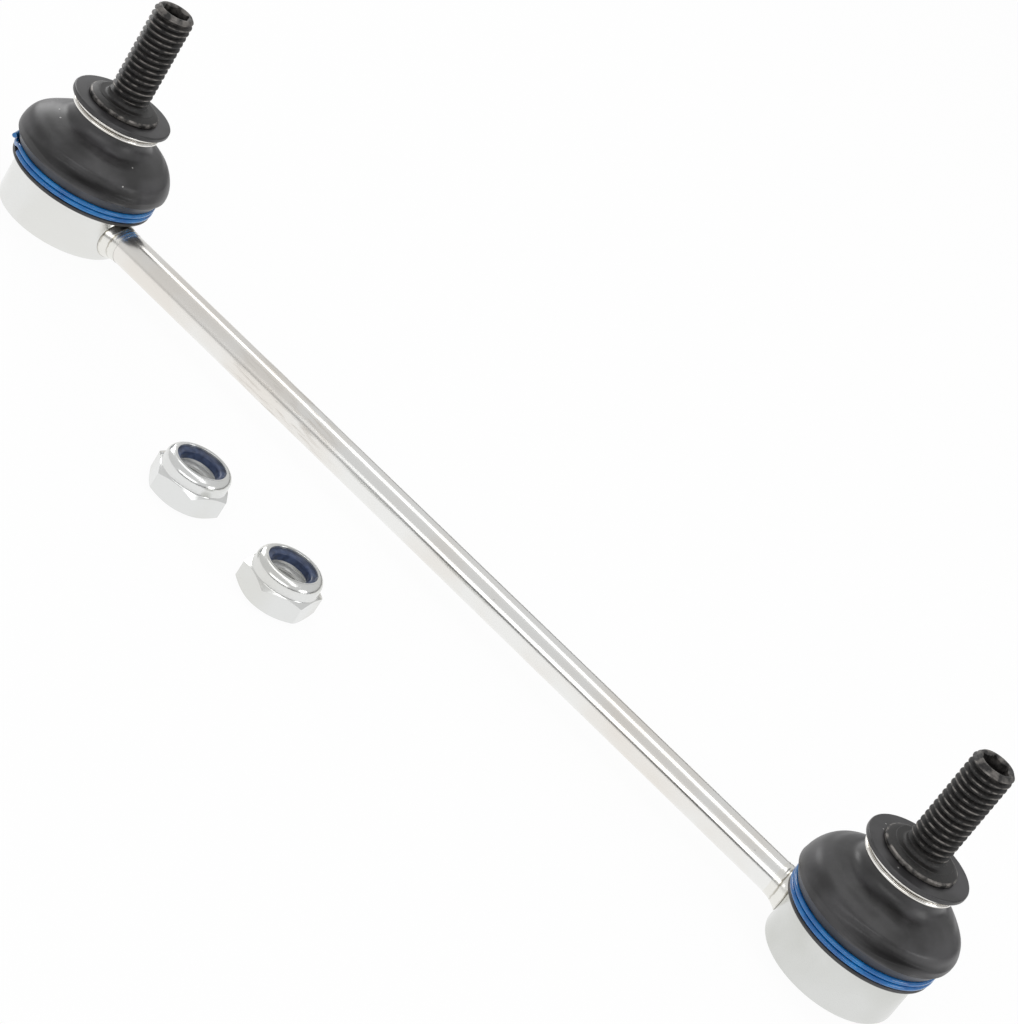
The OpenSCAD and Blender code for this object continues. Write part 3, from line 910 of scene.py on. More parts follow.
@dataclass(frozen=True)
class DustBoot:
    """Moulded rubber boot on a housing, shaped in two halves that meet on its bulge.

    Its folded front and its patch of painted shade are given as a middle and a width, in radians
    around the boot and, for the patch, in degrees up the bulge too. Its dents fade in over
    the first length of dent_fade above the crease, and end the second one off the bulge.
    """

    housing: Housing
    height: float = 21.6
    wall: float = 1.4
    lip_overhang: float = 1.85
    lip_t: float = 1.0
    skirt_h: float = 2.5
    bulge_overhang: float = 1.3
    bulge_round: float = 7.0
    bulge_rise: float = 0.4
    flange_d: float = 24.8
    flange_t: float = 1.3
    flange_edge: float = 0.4
    neck_round: float = 4.0
    neck_wall: float = 1.1
    ring_inset: float = 1.25
    lower_wire: float = 1.2
    upper_wire: float = 1.1
    ring_standout: float = 0.25
    wire_gap: float = 0.1
    shank_r: float = 7.2
    split_angle: float = 35.0
    crease_depth: float = 0.25
    dent_depth: float = 0.15
    dent_fade: tuple[float, float] = (0.5, 2.0)
    fold_depth: float = 0.42
    folded_side: tuple[float, float] = (-1.0, 0.8)
    shade_lean: tuple[float, float] = (15.0, 11.0)
    shade_side: tuple[float, float] = (-0.92, 0.55)

    @property
    def lip_z(self) -> float:
        """Height of the lip's lower face."""
        return self.housing.seat_z + self.housing.fit_gap

    @property
    def lip_r(self) -> float:
        """Radius of the lip."""
        return self.housing.outer_r + self.lip_overhang

    @property
    def groove_z(self) -> float:
        """Height of the lower ring's groove."""
        return self.lip_z + self.lip_t

    @property
    def skirt_z(self) -> float:
        """Height of the skirt's foot."""
        return self.groove_z + 2 * self.lower_wire + 3 * self.wire_gap

    @property
    def crease_z(self) -> float:
        """Height of the crease between the skirt and the bulge."""
        return self.skirt_z + self.skirt_h

    @property
    def bulge_z(self) -> float:
        """Height of the bulge's widest line."""
        return self.crease_z + self.bulge_rise

    @property
    def bulge_axis_r(self) -> float:
        """Radius of the circle that the bulge's rounding turns about."""
        return self.lip_r + self.bulge_overhang - self.bulge_round

    @property
    def split_z(self) -> float:
        """Height at which the two halves meet on the outside."""
        return self.on_bulge(self.bulge_round, self.split_angle)[1]

    @property
    def top(self) -> float:
        """Height of the flange's upper face."""
        return self.housing.seat_z + self.height

    @property
    def flange_z(self) -> float:
        """Height of the flange's lower face."""
        return self.top - self.flange_t

    @property
    def upper_groove_z(self) -> float:
        """Height of the upper ring's groove."""
        return self.flange_z - 2 * self.upper_wire - 3 * self.wire_gap

    @property
    def lower_coil_r(self) -> float:
        """Radius of the lower ring's wire axis."""
        return self.lip_r + self.ring_standout - self.lower_wire / 2

    @property
    def upper_coil_r(self) -> float:
        """Radius of the upper ring's wire axis."""
        return self.flange_d / 2 - self.ring_inset - self.upper_wire / 2

    def on_bulge(self, size: float, lean: float) -> tuple[float, float]:
        """Find a point of the bulge's section.

        Args:
            size: Radius of the rounding, outside or inside the wall.
            lean: Degrees up the bulge from its widest line.

        Returns:
            Radius and height of the point.
        """
        steep = math.radians(lean)
        return self.bulge_axis_r + size * math.cos(steep), self.bulge_z + size * math.sin(steep)

    def lower(self) -> BMesh:
        """Shape the half that the housing holds: lip, ring groove, skirt and the foot of the bulge.

        Returns:
            The closed lower half.
        """
        housing = self.housing
        bore_r = housing.groove_r + housing.fit_gap
        groove_r = self.lower_coil_r - self.lower_wire / 2 - self.wire_gap
        foot_r = self.lip_r - self.wire_gap
        foot = self.lip_t / 4
        inner_round = self.bulge_round - self.wall
        fall = math.degrees(math.asin(self.bulge_rise / self.bulge_round))
        inner_fall = math.degrees(math.asin(self.bulge_rise / inner_round))
        crease_r = self.on_bulge(self.bulge_round, -fall)[0]
        seal_top = housing.top - housing.rim_h - housing.fit_gap
        pen = Pen(bore_r, self.lip_z).line(self.lip_r - self.lip_t / 2, self.lip_z)
        pen.arc(self.lip_r - self.lip_t / 2, self.lip_z + self.lip_t / 2, 180, 12)
        pen.line(groove_r, self.groove_z).line(groove_r, self.skirt_z)
        pen.line(foot_r - foot, self.skirt_z).arc(foot_r - foot, self.skirt_z + foot, 60, 4)
        pen.line(crease_r - self.crease_depth, self.crease_z - self.crease_depth)
        pen.line(crease_r, self.crease_z)
        pen.arc(self.bulge_axis_r, self.bulge_z, fall + self.split_angle, 36)
        pen.line(*self.on_bulge(inner_round, self.split_angle))
        pen.arc(self.bulge_axis_r, self.bulge_z, -inner_fall - self.split_angle, 16)
        pen.line(foot_r - self.wall, self.skirt_z).line(foot_r - self.wall, seal_top).line(bore_r, seal_top)
        return self.fold_shaded(pen.close().turn())

    def upper(self) -> BMesh:
        """Shape the half that the stud carries: top of the bulge, hollow neck, ring groove and flange.

        Returns:
            The closed upper half.
        """
        tight_r = self.shank_r + self.housing.fit_gap
        groove_r = self.upper_coil_r - self.upper_wire / 2 - self.wire_gap
        bend_r = groove_r + self.neck_round
        bend_reach = bend_r - self.bulge_axis_r
        bend_rise = math.sqrt((self.bulge_round + self.neck_round) ** 2 - bend_reach ** 2)
        bend_z = self.bulge_z + bend_rise
        lean = math.degrees(math.atan2(bend_rise, bend_reach))
        edge = self.flange_edge
        edge_axis = self.flange_d / 2 - edge
        pen = Pen(*self.on_bulge(self.bulge_round, self.split_angle))
        pen.arc(self.bulge_axis_r, self.bulge_z, lean - self.split_angle, 36)
        pen.arc(bend_r, bend_z, -lean, 14)
        pen.line(groove_r, self.flange_z).line(edge_axis, self.flange_z)
        pen.arc(edge_axis, self.flange_z + edge, 90, 5).line(self.flange_d / 2, self.top - edge)
        pen.arc(edge_axis, self.top - edge, 90, 5)
        pen.line(tight_r, self.top).line(tight_r, bend_z).line(groove_r - self.neck_wall, bend_z)
        pen.arc(bend_r, bend_z, lean, 14).line(*self.on_bulge(self.bulge_round - self.wall, lean))
        pen.arc(self.bulge_axis_r, self.bulge_z, self.split_angle - lean, 16)
        return self.fold_shaded(pen.close().turn())

    def fold_shaded(self, shape: BMesh) -> BMesh:
        """Give the bulge slow dents and folds from packing and handling, and mark a patch of painted shade.

        Args:
            shape: A half of the boot.

        Returns:
            The same half.
        """
        # A vertex layer holds how much painted shade falls on each point of the bulge.
        painted_shade = shape.verts.layers.float.new(FOLD_SHADE)
        low_fade, high_fade = self.dent_fade
        middle, width = self.shade_lean
        side, spread = self.shade_side
        for vertex in shape.verts:
            angle = math.atan2(vertex.co.y, vertex.co.x)
            out = math.hypot(vertex.co.x, vertex.co.y) - self.bulge_axis_r
            rise = vertex.co.z - self.bulge_z
            low = min(1.0, max(0.0, (vertex.co.z - self.crease_z) / low_fade))
            high = min(1.0, max(0.0, self.bulge_round + high_fade - math.hypot(out, rise)))
            steep = math.atan2(rise, out)
            lean = math.degrees(steep)
            # Five dents stand upright around the bulge, and three more lean.
            wave = math.sin(5 * angle + 1.3) + 0.7 * math.sin(3 * angle - 0.6 + 4 * steep)
            push = low * high * (self.dent_depth * wave + self.fold_depth * self.fold(lean, angle))
            vertex.co.x += push * math.cos(steep) * math.cos(angle)
            vertex.co.y += push * math.cos(steep) * math.sin(angle)
            vertex.co.z += push * math.sin(steep)
            # Painted shade: a soft patch on the front of the bulge, about its valley.
            away = ((lean - middle) / width) ** 2 + ((angle - side) / spread) ** 2
            vertex[painted_shade] = low * high * math.exp(-away)
        return shape

    def fold(self, lean: float, angle: float) -> float:
        """Tell how the bulge folds: a filled neck, a flat dome, a ridge, a valley and a narrow pleat.

        Args:
            lean: Degrees up the bulge from its widest line.
            angle: Angle around the boot, in radians.

        Returns:
            Shares of the fold's depth, positive outwards.
        """
        side, spread = self.folded_side
        front = math.exp(-((angle - side) / spread) ** 2)
        neck, dome, ridge = 88, 58, 37
        valley = 21 + 4 * math.sin(4 * angle)
        pleat = 10 + 2 * math.sin(6 * angle)
        steps = (
            (neck, 9, 0.7), (dome, 13, -0.6), (ridge, 6, 0.4 * front),
            (valley, 8, -1.3 * front), (pleat, 2.5, 0.5 * front),
        )
        return sum(share * math.exp(-((lean - middle) / width) ** 2) for middle, width, share in steps)


@dataclass(frozen=True)
class ClampRing:
    """Two-turn ring of round spring wire that lies on a base, with a bent-out end in one direction."""

    radius: float
    wire: float
    base: float
    turn: float
    gap: float = 0.1
    crossover: float = 15.0
    tab_arc: float = 18.0
    tab_reach: float = 1.2
    tab_steps: int = 6
    wire_sides: int = 12
    step_degrees: float = 3.0

    def coil(self) -> BMesh:
        """Wind the ring: a level turn, a short crossover, a level turn and a bent-out end.

        Returns:
            The closed coil.
        """
        shape = bmesh.new()
        centre = Matrix.Translation((self.radius, 0.0, self.base + self.wire / 2))
        start = centre @ Matrix.Rotation(math.pi / 2, 4, "X")
        bmesh.ops.create_circle(shape, segments=self.wire_sides, radius=self.wire / 2, matrix=start)
        geometry = shape.verts[:] + shape.edges[:]
        rise = self.wire + self.gap
        level = 360 - self.crossover
        # The crossover climbs gently at first and at last.
        ramp = [(self.crossover / 3, share * rise) for share in (0.22, 0.56, 0.22)]
        for sweep, climb in ((level, 0.0), *ramp, (level - self.tab_arc, 0.0)):
            steps = math.ceil(sweep / self.step_degrees)
            geometry = bmesh.ops.spin(
                shape, geom=geometry, cent=(0.0, 0.0, 0.0), axis=(0.0, 0.0, 1.0),
                angle=math.radians(sweep), dvec=(0.0, 0.0, climb / steps), steps=steps,
            )["geom_last"]
        end = math.radians(2 * level + self.crossover - self.tab_arc)
        tab_length = math.radians(self.tab_arc) * self.radius
        bend = 2 * self.tab_reach / tab_length - math.radians(self.tab_arc)
        reach = self.radius + tab_length / bend
        bmesh.ops.spin(
            shape, geom=geometry, cent=(reach * math.cos(end), reach * math.sin(end), 0.0),
            axis=(0.0, 0.0, 1.0), angle=-bend, steps=self.tab_steps,
        )
        bmesh.ops.holes_fill(shape, edges=[edge for edge in shape.edges if edge.is_boundary])
        back = math.radians(self.turn - 2 * level - self.crossover)
        bmesh.ops.rotate(shape, verts=shape.verts, matrix=Matrix.Rotation(back, 3, "Z"))
        return joined(shape)


@dataclass(frozen=True)
class BallStud:
    """Forged ball stud: ball, neck, shank, collar, rolled thread and hexagon socket."""

    ball_z: float
    collar_z: float
    ball_d: float = 16.0
    neck_d: float = 9.6
    shank_d: float = 14.4
    shank_length: float = 8.6
    collar_d: float = 17.6
    collar_edge: float = 0.9
    collar_bevel: float = 0.9
    bevel_d: float = 14.0
    runout_h: float = 0.8
    thread_d: float = 9.86
    thread_depth: float = 0.88
    pitch: float = 1.5
    thread_length: float = 24.1
    foot_share: float = 0.4
    tip_chamfer: float = 0.9
    lead: float = 1.9
    lead_fill: float = 0.75
    socket_af: float = 6.0
    socket_depth: float = 5.6
    socket_segments: int = 72
    edge_round: float = 0.22
    step: float = 0.12

    @property
    def thread_z(self) -> float:
        """Height at which the thread starts."""
        return self.collar_z + self.collar_edge + self.collar_bevel + self.runout_h

    @property
    def tip_z(self) -> float:
        """Height of the tip."""
        return self.thread_z + self.thread_length

    def trimmed(self, radius: float, height: float) -> float:
        """Trim the thread to its runout at the foot and its chamfered lead at the tip.

        Args:
            radius: Radius of the full thread.
            height: Height of the point.

        Returns:
            The radius that is left.
        """
        crest = self.thread_d / 2
        foot = min(1.0, max(0.0, (height - self.thread_z) / (self.foot_share * self.pitch)))
        radius = max(radius, crest - self.thread_depth * foot)
        below = self.tip_z - height
        fill = min(1.0, max(0.0, (self.lead - below) / self.lead))
        radius = max(radius, crest - self.thread_depth * (1 - self.lead_fill * fill))
        return min(radius, crest - self.tip_chamfer + below)

    def forging(self) -> BMesh:
        """Shape the stud.

        Returns:
            The closed stud.
        """
        ball_r = self.ball_d / 2
        neck_r = self.neck_d / 2
        shank_r = self.shank_d / 2
        collar_r = self.collar_d / 2
        bevel_r = self.bevel_d / 2
        crest = self.thread_d / 2
        edge = self.edge_round
        shank_z = self.collar_z - self.shank_length
        bevel_z = self.collar_z + self.collar_edge
        runout_z = bevel_z + self.collar_bevel
        lean = math.degrees(math.acos(neck_r / ball_r))
        pen = Pen(0.0, self.ball_z - ball_r).arc(0.0, self.ball_z, 90 + lean, 40)
        pen.line(neck_r, shank_z - (shank_r - neck_r)).line(shank_r, shank_z).line(shank_r, self.collar_z)
        pen.line(collar_r - edge, self.collar_z).arc(collar_r - edge, self.collar_z + edge, 90, 4)
        pen.line(collar_r, bevel_z - edge).arc(collar_r - edge, bevel_z - edge, 60, 4)
        pen.line(bevel_r + self.step, runout_z - self.step)
        pen.line(bevel_r, runout_z - self.step).line(bevel_r - self.step, runout_z)
        bend = self.runout_h
        pen.line(crest + bend, self.thread_z - bend).arc(crest + bend, self.thread_z, -90, 8)
        shape = pen.turn()
        foot = [item for item in shape.edges if item.is_boundary]
        thread = Thread(self.pitch, crest - self.thread_depth, crest, self.thread_z, self.tip_z)
        low_end, high_end = thread.cut(shape, self.trimmed)
        low_end = [item for item in low_end if item not in foot]
        bmesh.ops.bridge_loops(shape, edges=foot + low_end)
        bmesh.ops.bridge_loops(shape, edges=self.socket(shape) + high_end)
        return joined(shape)

    def socket(self, shape: BMesh) -> Edges:
        """Sink the hexagon socket into the tip.

        Args:
            shape: The shape that gets the socket.

        Returns:
            The edges of the tip's flat ring around it.
        """
        flat_r = self.thread_d / 2 - self.tip_chamfer - self.step
        six = hexagon(self.socket_af)
        inner_r = self.socket_af / 2
        corner_r = self.socket_af / math.sqrt(3)
        floor = self.tip_z - self.socket_depth
        mouth = self.tip_z - (corner_r + self.step - inner_r)
        stack = RingStack(shape, self.socket_segments, lambda angle: (flat_r, self.tip_z))
        rim = stack.rim
        stack.to(corner_r + self.step, self.tip_z)
        stack.grow(lambda angle: (six(angle), mouth + six(angle) - inner_r))
        stack.grow(lambda angle: (six(angle), floor))
        stack.to(inner_r - self.step, floor).to(0.0, floor - inner_r / 3)
        return rim


@dataclass(frozen=True)
class LinkRod:
    """Round bar between the housings, with both ends coped to their walls and a ring of weld metal."""

    spacing: float
    housing: Housing
    diameter: float = 8.4
    weld_rise: float = 0.3
    weld_toe: float = 0.03
    weld_flare: float = 1.0
    weld_length: float = 4.2
    weld_headroom: float = 0.1
    toe_reach: tuple[float, float] = (0.1, 2.2)
    ripple: float = 0.1
    ripples: int = 3
    segments: int = 64

    @property
    def axis_z(self) -> float:
        """Height of the rod's axis."""
        return self.housing.seat_z - self.weld_headroom - self.weld_rise - self.diameter / 2

    def wall(self, radius: float, angle: float) -> float:
        """Distance along the rod from the stud's axis to the housing's wall, at a point of its section."""
        reach = self.housing.outer_r + self.housing.fit_gap
        return math.sqrt(reach ** 2 - (radius * math.sin(angle)) ** 2)

    def bar(self) -> BMesh:
        """Shape the rod.

        Returns:
            The closed rod, along X.
        """
        shape = bmesh.new()
        rings = [self.diameter / 2 * share for share in (1.0, 0.75, 0.5, 0.25, 0.0)]
        stack = RingStack(shape, self.segments, lambda angle: (rings[0], self.wall(rings[0], angle)))
        for ring in rings:
            stack.grow(lambda angle: (ring, self.spacing - self.wall(ring, angle)))
        stack.rim = stack.first
        for ring in rings[1:]:
            stack.grow(lambda angle: (ring, self.wall(ring, angle)))
        return self.laid(joined(shape))

    def weld(self) -> BMesh:
        """Shape the weld collar at the left end.

        Returns:
            The closed collar, along X.
        """
        rod_r = self.diameter / 2 + self.housing.fit_gap / 2
        shape = bmesh.new()
        stack = RingStack(shape, self.segments, lambda angle: (rod_r, self.wall(rod_r, angle)))
        steps = 4 * self.ripples
        for step in range(steps + 1):
            along = step / steps
            bead = self.ripple * math.sin(along * self.ripples * math.tau) * math.sin(math.pi * along)
            stack.grow(lambda angle: self.bead_point(rod_r, bead, along, angle))
        stack.grow(lambda angle: (rod_r, self.wall(rod_r, angle) + self.weld_length))
        stack.bridge(stack.first)
        return self.laid(joined(shape))

    def bead_point(self, radius: float, bead: float, along: float, angle: float) -> tuple[float, float]:
        """Place a point of the weld's surface, which flares out towards the wall and more on the underside.

        Args:
            radius: Radius of the rod.
            bead: Height of the ripple there.
            along: Share of the weld's length from the wall.
            angle: Angle around the rod.

        Returns:
            Radius and distance from the stud's axis.
        """
        topside = max(0.0, -math.cos(angle)) ** 2
        flare = self.weld_rise + self.weld_flare * (0.5 + 0.5 * math.cos(angle))
        uneven = radius + self.weld_toe + (flare - self.weld_toe) * (1 - along) ** 2 + bead * topside
        return uneven, self.wall(uneven, angle) + along * self.weld_length

    def laid(self, shape: BMesh) -> BMesh:
        """Turn a shape made about Z to lie along X at the rod's height.

        Args:
            shape: The shape to turn.

        Returns:
            The same shape.
        """
        bmesh.ops.rotate(shape, verts=shape.verts, matrix=Matrix.Rotation(math.pi / 2, 3, "Y"))
        bmesh.ops.translate(shape, verts=shape.verts, vec=(0.0, 0.0, self.axis_z))
        return shape

    def build(self) -> None:
        """Make and dress the rod and its two welds."""
        plate = ZincPlate(
            Lay.DRAWN, cool="eeeeec", warm="e9e5df", scuffed_mm=(58.0, 97.0),
            roughness=(0.14, 0.24), relief=0.35,
        )
        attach(publish(self.bar(), "rod_bar", plate, "link_rod", Vector()), "link")
        toes = tuple(self.housing.outer_r + reach for reach in self.toe_reach)
        for end in End:
            weld = self.weld()
            axis_x = 0.0
            if end is End.RIGHT:
                axis_x = self.spacing
                bmesh.ops.rotate(weld, verts=weld.verts, matrix=Matrix.Rotation(math.pi, 3, "Z"))
            metal = WeldMetal((axis_x * MM, 0.0), toes, self.axis_z)
            name = f"{end.value}_weld"
            bead = publish(weld, f"{name}_bead", metal, f"{name}_collar", Vector((axis_x, 0.0, 0.0)))
            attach(bead, "link")


@dataclass(frozen=True)
class LockNut:
    """Hexagon nut with a round collar that is crimped over a nylon ring."""

    number: int
    turn: float
    across: float = 16.0
    height: float = 9.0
    hex_h: float = 5.4
    collar_d: float = 15.4
    collar_round: float = 1.9
    core_d: float = 8.5
    thread_d: float = 10.1
    pitch: float = 1.5
    insert_d: float = 12.8
    insert_bore_d: float = 8.9
    insert_h: float = 2.0
    crimp_t: float = 0.7
    crimp_width: float = 0.6
    chamfer: float = 0.2
    chamfer_slope: float = math.tan(math.radians(30))
    fit_gap: float = 0.06
    countersink: float = 0.5
    segments: int = 96

    @property
    def insert_z(self) -> float:
        """Height of the nylon ring's lower face."""
        return self.height - self.crimp_t - self.insert_h - self.fit_gap

    @property
    def thread_ends(self) -> tuple[float, float]:
        """Heights between which the thread runs."""
        return self.countersink / 2, self.insert_z - self.fit_gap

    def body(self) -> BMesh:
        """Shape the nut with its thread.

        Returns:
            The closed nut.
        """
        shape = bmesh.new()
        root_r = self.thread_d / 2
        thread = Thread(self.pitch, root_r, self.core_d / 2, *self.thread_ends)
        low_end, high_end = thread.cut(shape, self.trimmed)
        six = hexagon(self.across, self.turn)
        round_r = self.across / 2 - self.chamfer
        collar_r = self.collar_d / 2
        collar_axis = collar_r - self.collar_round
        collar_z = self.height - self.collar_round
        lip = self.crimp_t / 2
        crimp_axis = self.insert_d / 2 - self.crimp_width + lip
        pocket_r = self.insert_d / 2 + self.fit_gap
        stack = RingStack(shape, self.segments, lambda angle: (root_r + self.countersink / 2, 0.0))
        stack.bridge(low_end)
        stack.to(round_r, 0.0)
        stack.grow(lambda angle: (six(angle), (six(angle) - round_r) * self.chamfer_slope))
        stack.grow(lambda angle: (six(angle), self.hex_h - (six(angle) - round_r) * self.chamfer_slope))
        stack.to(round_r, self.hex_h).to(collar_r, self.hex_h + self.chamfer).to(collar_r, collar_z)
        stack.quarter(collar_axis, collar_z, self.collar_round, start=0, steps=12)
        stack.to(crimp_axis, self.height)
        stack.quarter(crimp_axis, self.height - lip, lip, start=90, steps=6)
        stack.to(crimp_axis - lip, self.height - self.crimp_t).to(pocket_r, self.height - self.crimp_t)
        stack.to(pocket_r, self.thread_ends[1])
        stack.bridge(high_end)
        return joined(shape)

    def trimmed(self, radius: float, height: float) -> float:
        """Open the thread to its countersinks.

        Args:
            radius: Radius of the full thread.
            height: Height of the point.

        Returns:
            The radius that is left.
        """
        low, high = self.thread_ends
        from_end = min(height - low, high - height)
        return max(radius, self.thread_d / 2 - max(0.0, from_end))

    def ring(self) -> BMesh:
        """Shape the nylon ring with a rounded mouth.

        Returns:
            The closed ring.
        """
        bore_r = self.insert_bore_d / 2
        outer_r = self.insert_d / 2
        mouth = self.insert_h / 3
        top = self.insert_z + self.insert_h
        pen = Pen(bore_r, self.insert_z).line(outer_r, self.insert_z).line(outer_r, top)
        pen.line(bore_r + mouth, top).arc(bore_r + mouth, top - mouth, 90, 8)
        return pen.close().turn()

    def build(self) -> None:
        """Make and dress the nut where its CAD node stands."""
        node = f"lock_nut_{self.number}"
        low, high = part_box(node)
        middle = (low + high) / 2 / MM
        place = Vector((middle.x, middle.y, 0.0))
        plate = ZincPlate(Lay.FORMED, (middle.x * MM, middle.y * MM), bore_mm=self.thread_d / 2)
        name = f"nut_{self.number}"
        nut = publish(self.body(), f"{name}_body", plate, node, place)
        ring = publish(self.ring(), f"{name}_ring", NYLON, f"nut_insert_{self.number}", place)
        for piece in (nut, ring):
            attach(piece, name)


@dataclass(frozen=True)
class BallJoint:
    """One end of the link: housing, cover, ball stud, boot and its two wire rings."""

    end: End
    axis_x: float
    housing: Housing
    lower_turn: float
    upper_turn: float
    tones: tuple[str, str]

    def add(self, shape: BMesh, piece: str, finish: Finish, node: str) -> bpy.types.Object:
        """Publish a piece of this joint.

        Args:
            shape: The shape about the stud's axis, in millimetres.
            piece: Name of the piece, without its side.
            finish: Its surface.
            node: The CAD node that it stands for, without its side.

        Returns:
            The piece.
        """
        side = self.end.value
        return publish(shape, f"{side}_{piece}", finish, f"{side}_{node}", Vector((self.axis_x, 0.0, 0.0)))

    def build(self) -> None:
        """Make and dress the joint's pieces."""
        side = self.end.value
        axis = (self.axis_x * MM, 0.0)
        boot = DustBoot(self.housing)
        gap = boot.wire_gap
        # The plate's tones differ between the joints as painted light and shade.
        plate = ZincPlate(Lay.TURNED, axis, *self.tones)
        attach(self.add(self.housing.cup(), "housing_cup", plate, "housing"), "link")
        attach(self.add(self.housing.cover(), "cover_plate", plate, "cover_disc"), "link")
        lower = ClampRing(boot.lower_coil_r, boot.lower_wire, boot.groove_z + gap, self.lower_turn)
        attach(self.add(lower.coil(), "blue_ring", BLUE_COAT, "lower_clamp_ring"), "link")
        upper = ClampRing(boot.upper_coil_r, boot.upper_wire, boot.upper_groove_z + gap, self.upper_turn)
        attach(self.add(upper.coil(), "bright_ring", DRAWN_WIRE, "upper_clamp_ring"), f"{side}_clamp")
        stud = BallStud(self.housing.ball_z, boot.top + self.housing.fit_gap)
        first_crest = stud.thread_z + stud.pitch / 2
        steel = PhosphatedSteel(axis, stud.thread_d / 2, stud.collar_d / 2, first_crest, stud.tip_z)
        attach(self.add(stud.forging(), "stud_forging", steel, "ball_stud"), f"{side}_stud")
        self.fit_boot(boot)
        # The bearing shell lies hidden inside, so its CAD node is only dressed.
        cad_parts[f"{side}_bearing_shell"].material_slots[0].material = ACETAL.material()

    def fit_boot(self, boot: DustBoot) -> None:
        """Make the boot's halves.

        Args:
            boot: The boot's sizes.
        """
        rubber = BootRubber()
        levels = (boot.skirt_z, boot.split_z, boot.upper_groove_z)
        lower = self.add(boot.lower(), "boot_lower", rubber, "dust_boot")
        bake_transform(lower)
        upper = self.add(boot.upper(), "boot_upper", rubber, "dust_boot")
        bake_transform(upper)


@dataclass(frozen=True)
class Panel:
    """A soft rectangular lamp, in metres, that faces the link."""

    name: str
    place: Triple
    width: float
    depth: float
    radiance: float

    def hang(self, aim: Vector) -> None:
        """Hang the lamp.

        Args:
            aim: Point that the lamp faces.
        """
        lamp = bpy.data.lights.new(self.name, "AREA")
        lamp.shape = "RECTANGLE"
        lamp.size = self.width
        lamp.size_y = self.depth
        lamp.energy = self.radiance * math.pi * self.width * self.depth
        holder = bpy.data.objects.new(self.name, lamp)
        holder.location = self.place
        holder.rotation_mode = "QUATERNION"
        holder.rotation_quaternion = (Vector(self.place) - aim).to_track_quat("Z", "Y")
        holder.visible_camera = False
        bpy.context.scene.collection.objects.link(holder)


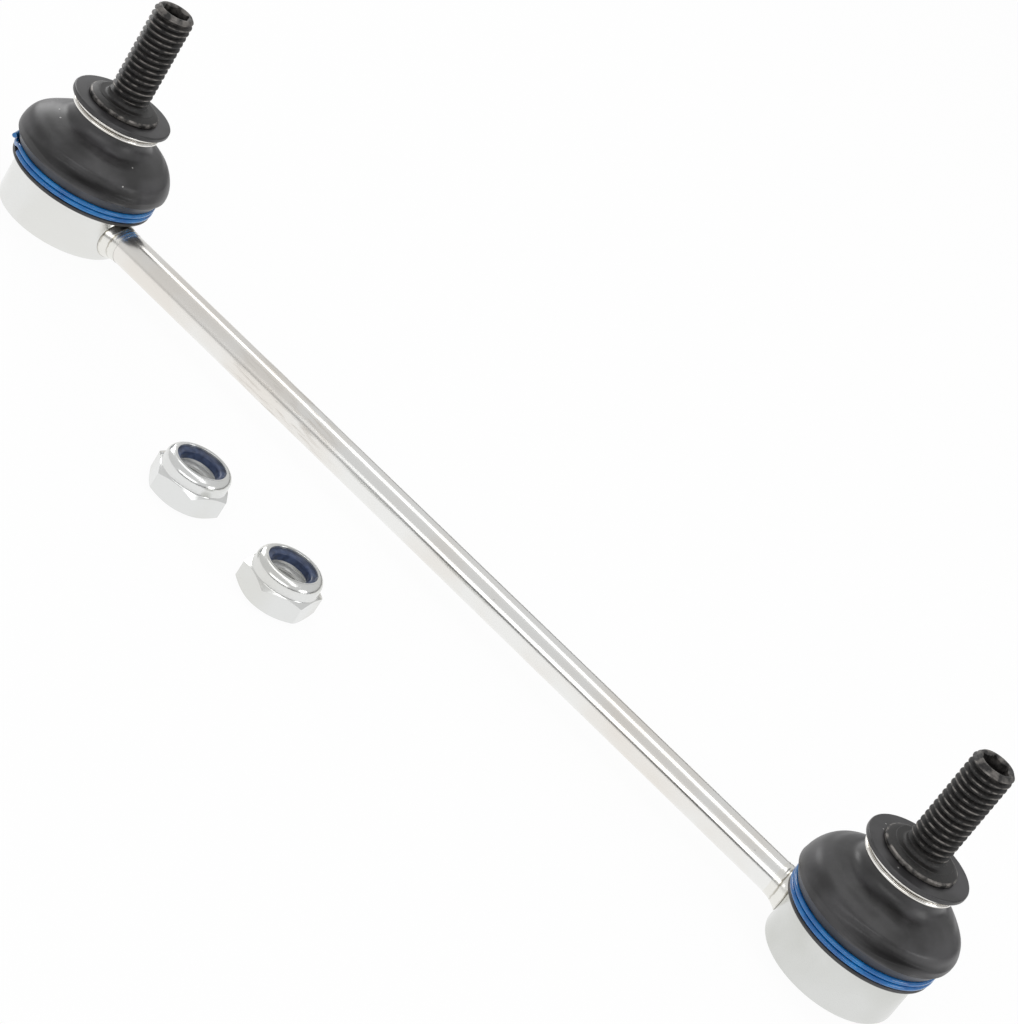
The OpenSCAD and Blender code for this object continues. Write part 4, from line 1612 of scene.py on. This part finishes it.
@dataclass(frozen=True)
class Studio:
    """Pale floor, white surroundings, soft lamps and the camera.

    The overhead lamp hangs slightly off the aim, which turns its long side by about
    24 degrees from the rod, so that its streak crosses the rod at a slant.
    """

    floor_half: float = 4.0
    floor_drop: float = 0.0002
    floor_colour: str = "fcfcfc"
    floor_glow: float = 0.93
    mirror_glow: float = 0.98
    fill: float = 0.66
    dome: float = 0.72
    dome_start: tuple[float, float] = (0.16, 0.23)
    skirting: float = 0.1
    skirting_end: tuple[float, float] = (-0.44, -0.32)
    aim: Triple = (0.12306, 0.03409, 0.0089)
    distance: float = 0.63698
    azimuth: float = 20.42
    elevation: float = 24.82
    roll: float = 34.63
    lens: float = 96.4
    lamps: tuple[Panel, ...] = (
        Panel("overhead_lamp", (0.1387, 0.07, 1.0), width=1.6, depth=0.24, radiance=1.5),
        Panel("front_lamp", (0.3, -0.95, 0.42), width=1.2, depth=0.3, radiance=1.7),
        Panel("left_lamp", (-0.85, 0.5, 0.42), width=0.45, depth=0.45, radiance=3.2),
        Panel("right_lamp", (1.2, 0.1, 0.3), width=0.4, depth=0.4, radiance=3.0),
    )

    def build(self) -> None:
        """Set up the whole studio."""
        self.lay_floor()
        self.light_surroundings()
        for lamp in self.lamps:
            lamp.hang(Vector(self.aim))
        self.place_camera()
        bpy.context.scene.view_settings.view_transform = "Standard"

    def lay_floor(self) -> None:
        """Lay a white floor that keeps a soft shadow."""
        shape = bmesh.new()
        bmesh.ops.create_grid(shape, x_segments=2, y_segments=2, size=self.floor_half)
        bmesh.ops.translate(shape, verts=shape.verts, vec=(0.0, 0.0, -self.floor_drop))
        mesh = bpy.data.meshes.new("studio_floor")
        shape.to_mesh(mesh)
        shape.free()
        made = bpy.data.materials.new("matt_white_floor")
        made.use_nodes = True
        nodes = made.node_tree.nodes
        nodes.remove(nodes["Principled BSDF"])
        board = Board(made.node_tree)
        matt = board.add("BsdfDiffuse", {"Color": linear(self.floor_colour)})
        glow = board.add("Emission", {"Strength": 1.0})
        share = board.by_ray(self.floor_glow, self.mirror_glow, 0.0)
        mixed = board.add("MixShader", {0: share, 1: matt, 2: glow})
        board.feed(nodes["Material Output"], {"Surface": mixed})
        mesh.materials.append(made)
        floor = bpy.data.objects.new("studio_floor", mesh)
        bpy.context.scene.collection.objects.link(floor)

    def light_surroundings(self) -> None:
        """Surround the link with white, which mirrors see as a pale dome over a darker skirting."""
        world = bpy.data.worlds.new("studio_surroundings")
        world.use_nodes = True
        bpy.context.scene.world = world
        board = Board(world.node_tree)
        direction = board.add("TexCoord", output="Generated")
        parts = board.add("SeparateXYZ", {0: direction}).node.outputs
        # The skirting stops on the left, where the floor runs up to the dome.
        left, right = self.skirting_end
        sides = {"From Min": left, "From Max": right, "To Min": self.dome, "To Max": self.skirting}
        skirting = board.add("MapRange", {"Value": parts["X"], **sides})
        low, high = self.dome_start
        rise = {"From Min": low, "From Max": high, "To Min": skirting, "To Max": self.dome}
        dome = board.add("MapRange", {"Value": parts["Z"], **rise}, interpolation_type="SMOOTHSTEP")
        level = board.by_ray(1.0, dome, self.fill)
        white = (1.0, 1.0, 1.0, 1.0)
        board.feed(world.node_tree.nodes["Background"], {"Color": white, "Strength": level})

    def place_camera(self) -> None:
        """Put the camera at the photograph's viewing angle."""
        turn, lift = math.radians(self.azimuth), math.radians(self.elevation)
        back = Vector((math.sin(turn) * math.cos(lift), -math.cos(turn) * math.cos(lift), math.sin(lift)))
        data = bpy.data.cameras.new("camera")
        data.lens = self.lens
        camera = bpy.data.objects.new("camera", data)
        camera.location = Vector(self.aim) + self.distance * back
        camera.rotation_mode = "QUATERNION"
        rolled = Quaternion((0.0, 0.0, 1.0), math.radians(self.roll))
        camera.rotation_quaternion = back.to_track_quat("Z", "Y") @ rolled
        bpy.context.scene.collection.objects.link(camera)
        bpy.context.scene.camera = camera


def main() -> None:
    """Build the link, the nuts and the studio."""
    housing = Housing()
    places = {}
    for end in End:
        low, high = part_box(f"{end.value}_housing")
        places[end] = (low.x + high.x) / 2 / MM
    LinkRod(places[End.RIGHT], housing).build()
    # The two housings wear one plate in lit and shaded copies: painted light makes the left one lighter,
    # painted shade the right one darker.
    left = BallJoint(
        End.LEFT, places[End.LEFT], housing, lower_turn=224, upper_turn=128, tones=("e8e9e8", "e3e3e0")
    )
    right = BallJoint(
        End.RIGHT, places[End.RIGHT], housing, lower_turn=96, upper_turn=70, tones=("d9dad8", "cecfcb")
    )
    for joint in (left, right):
        joint.build()
    LockNut(1, turn=12).build()
    LockNut(2, turn=38).build()
    Studio().build()


if __name__ == "__main__":
    main()
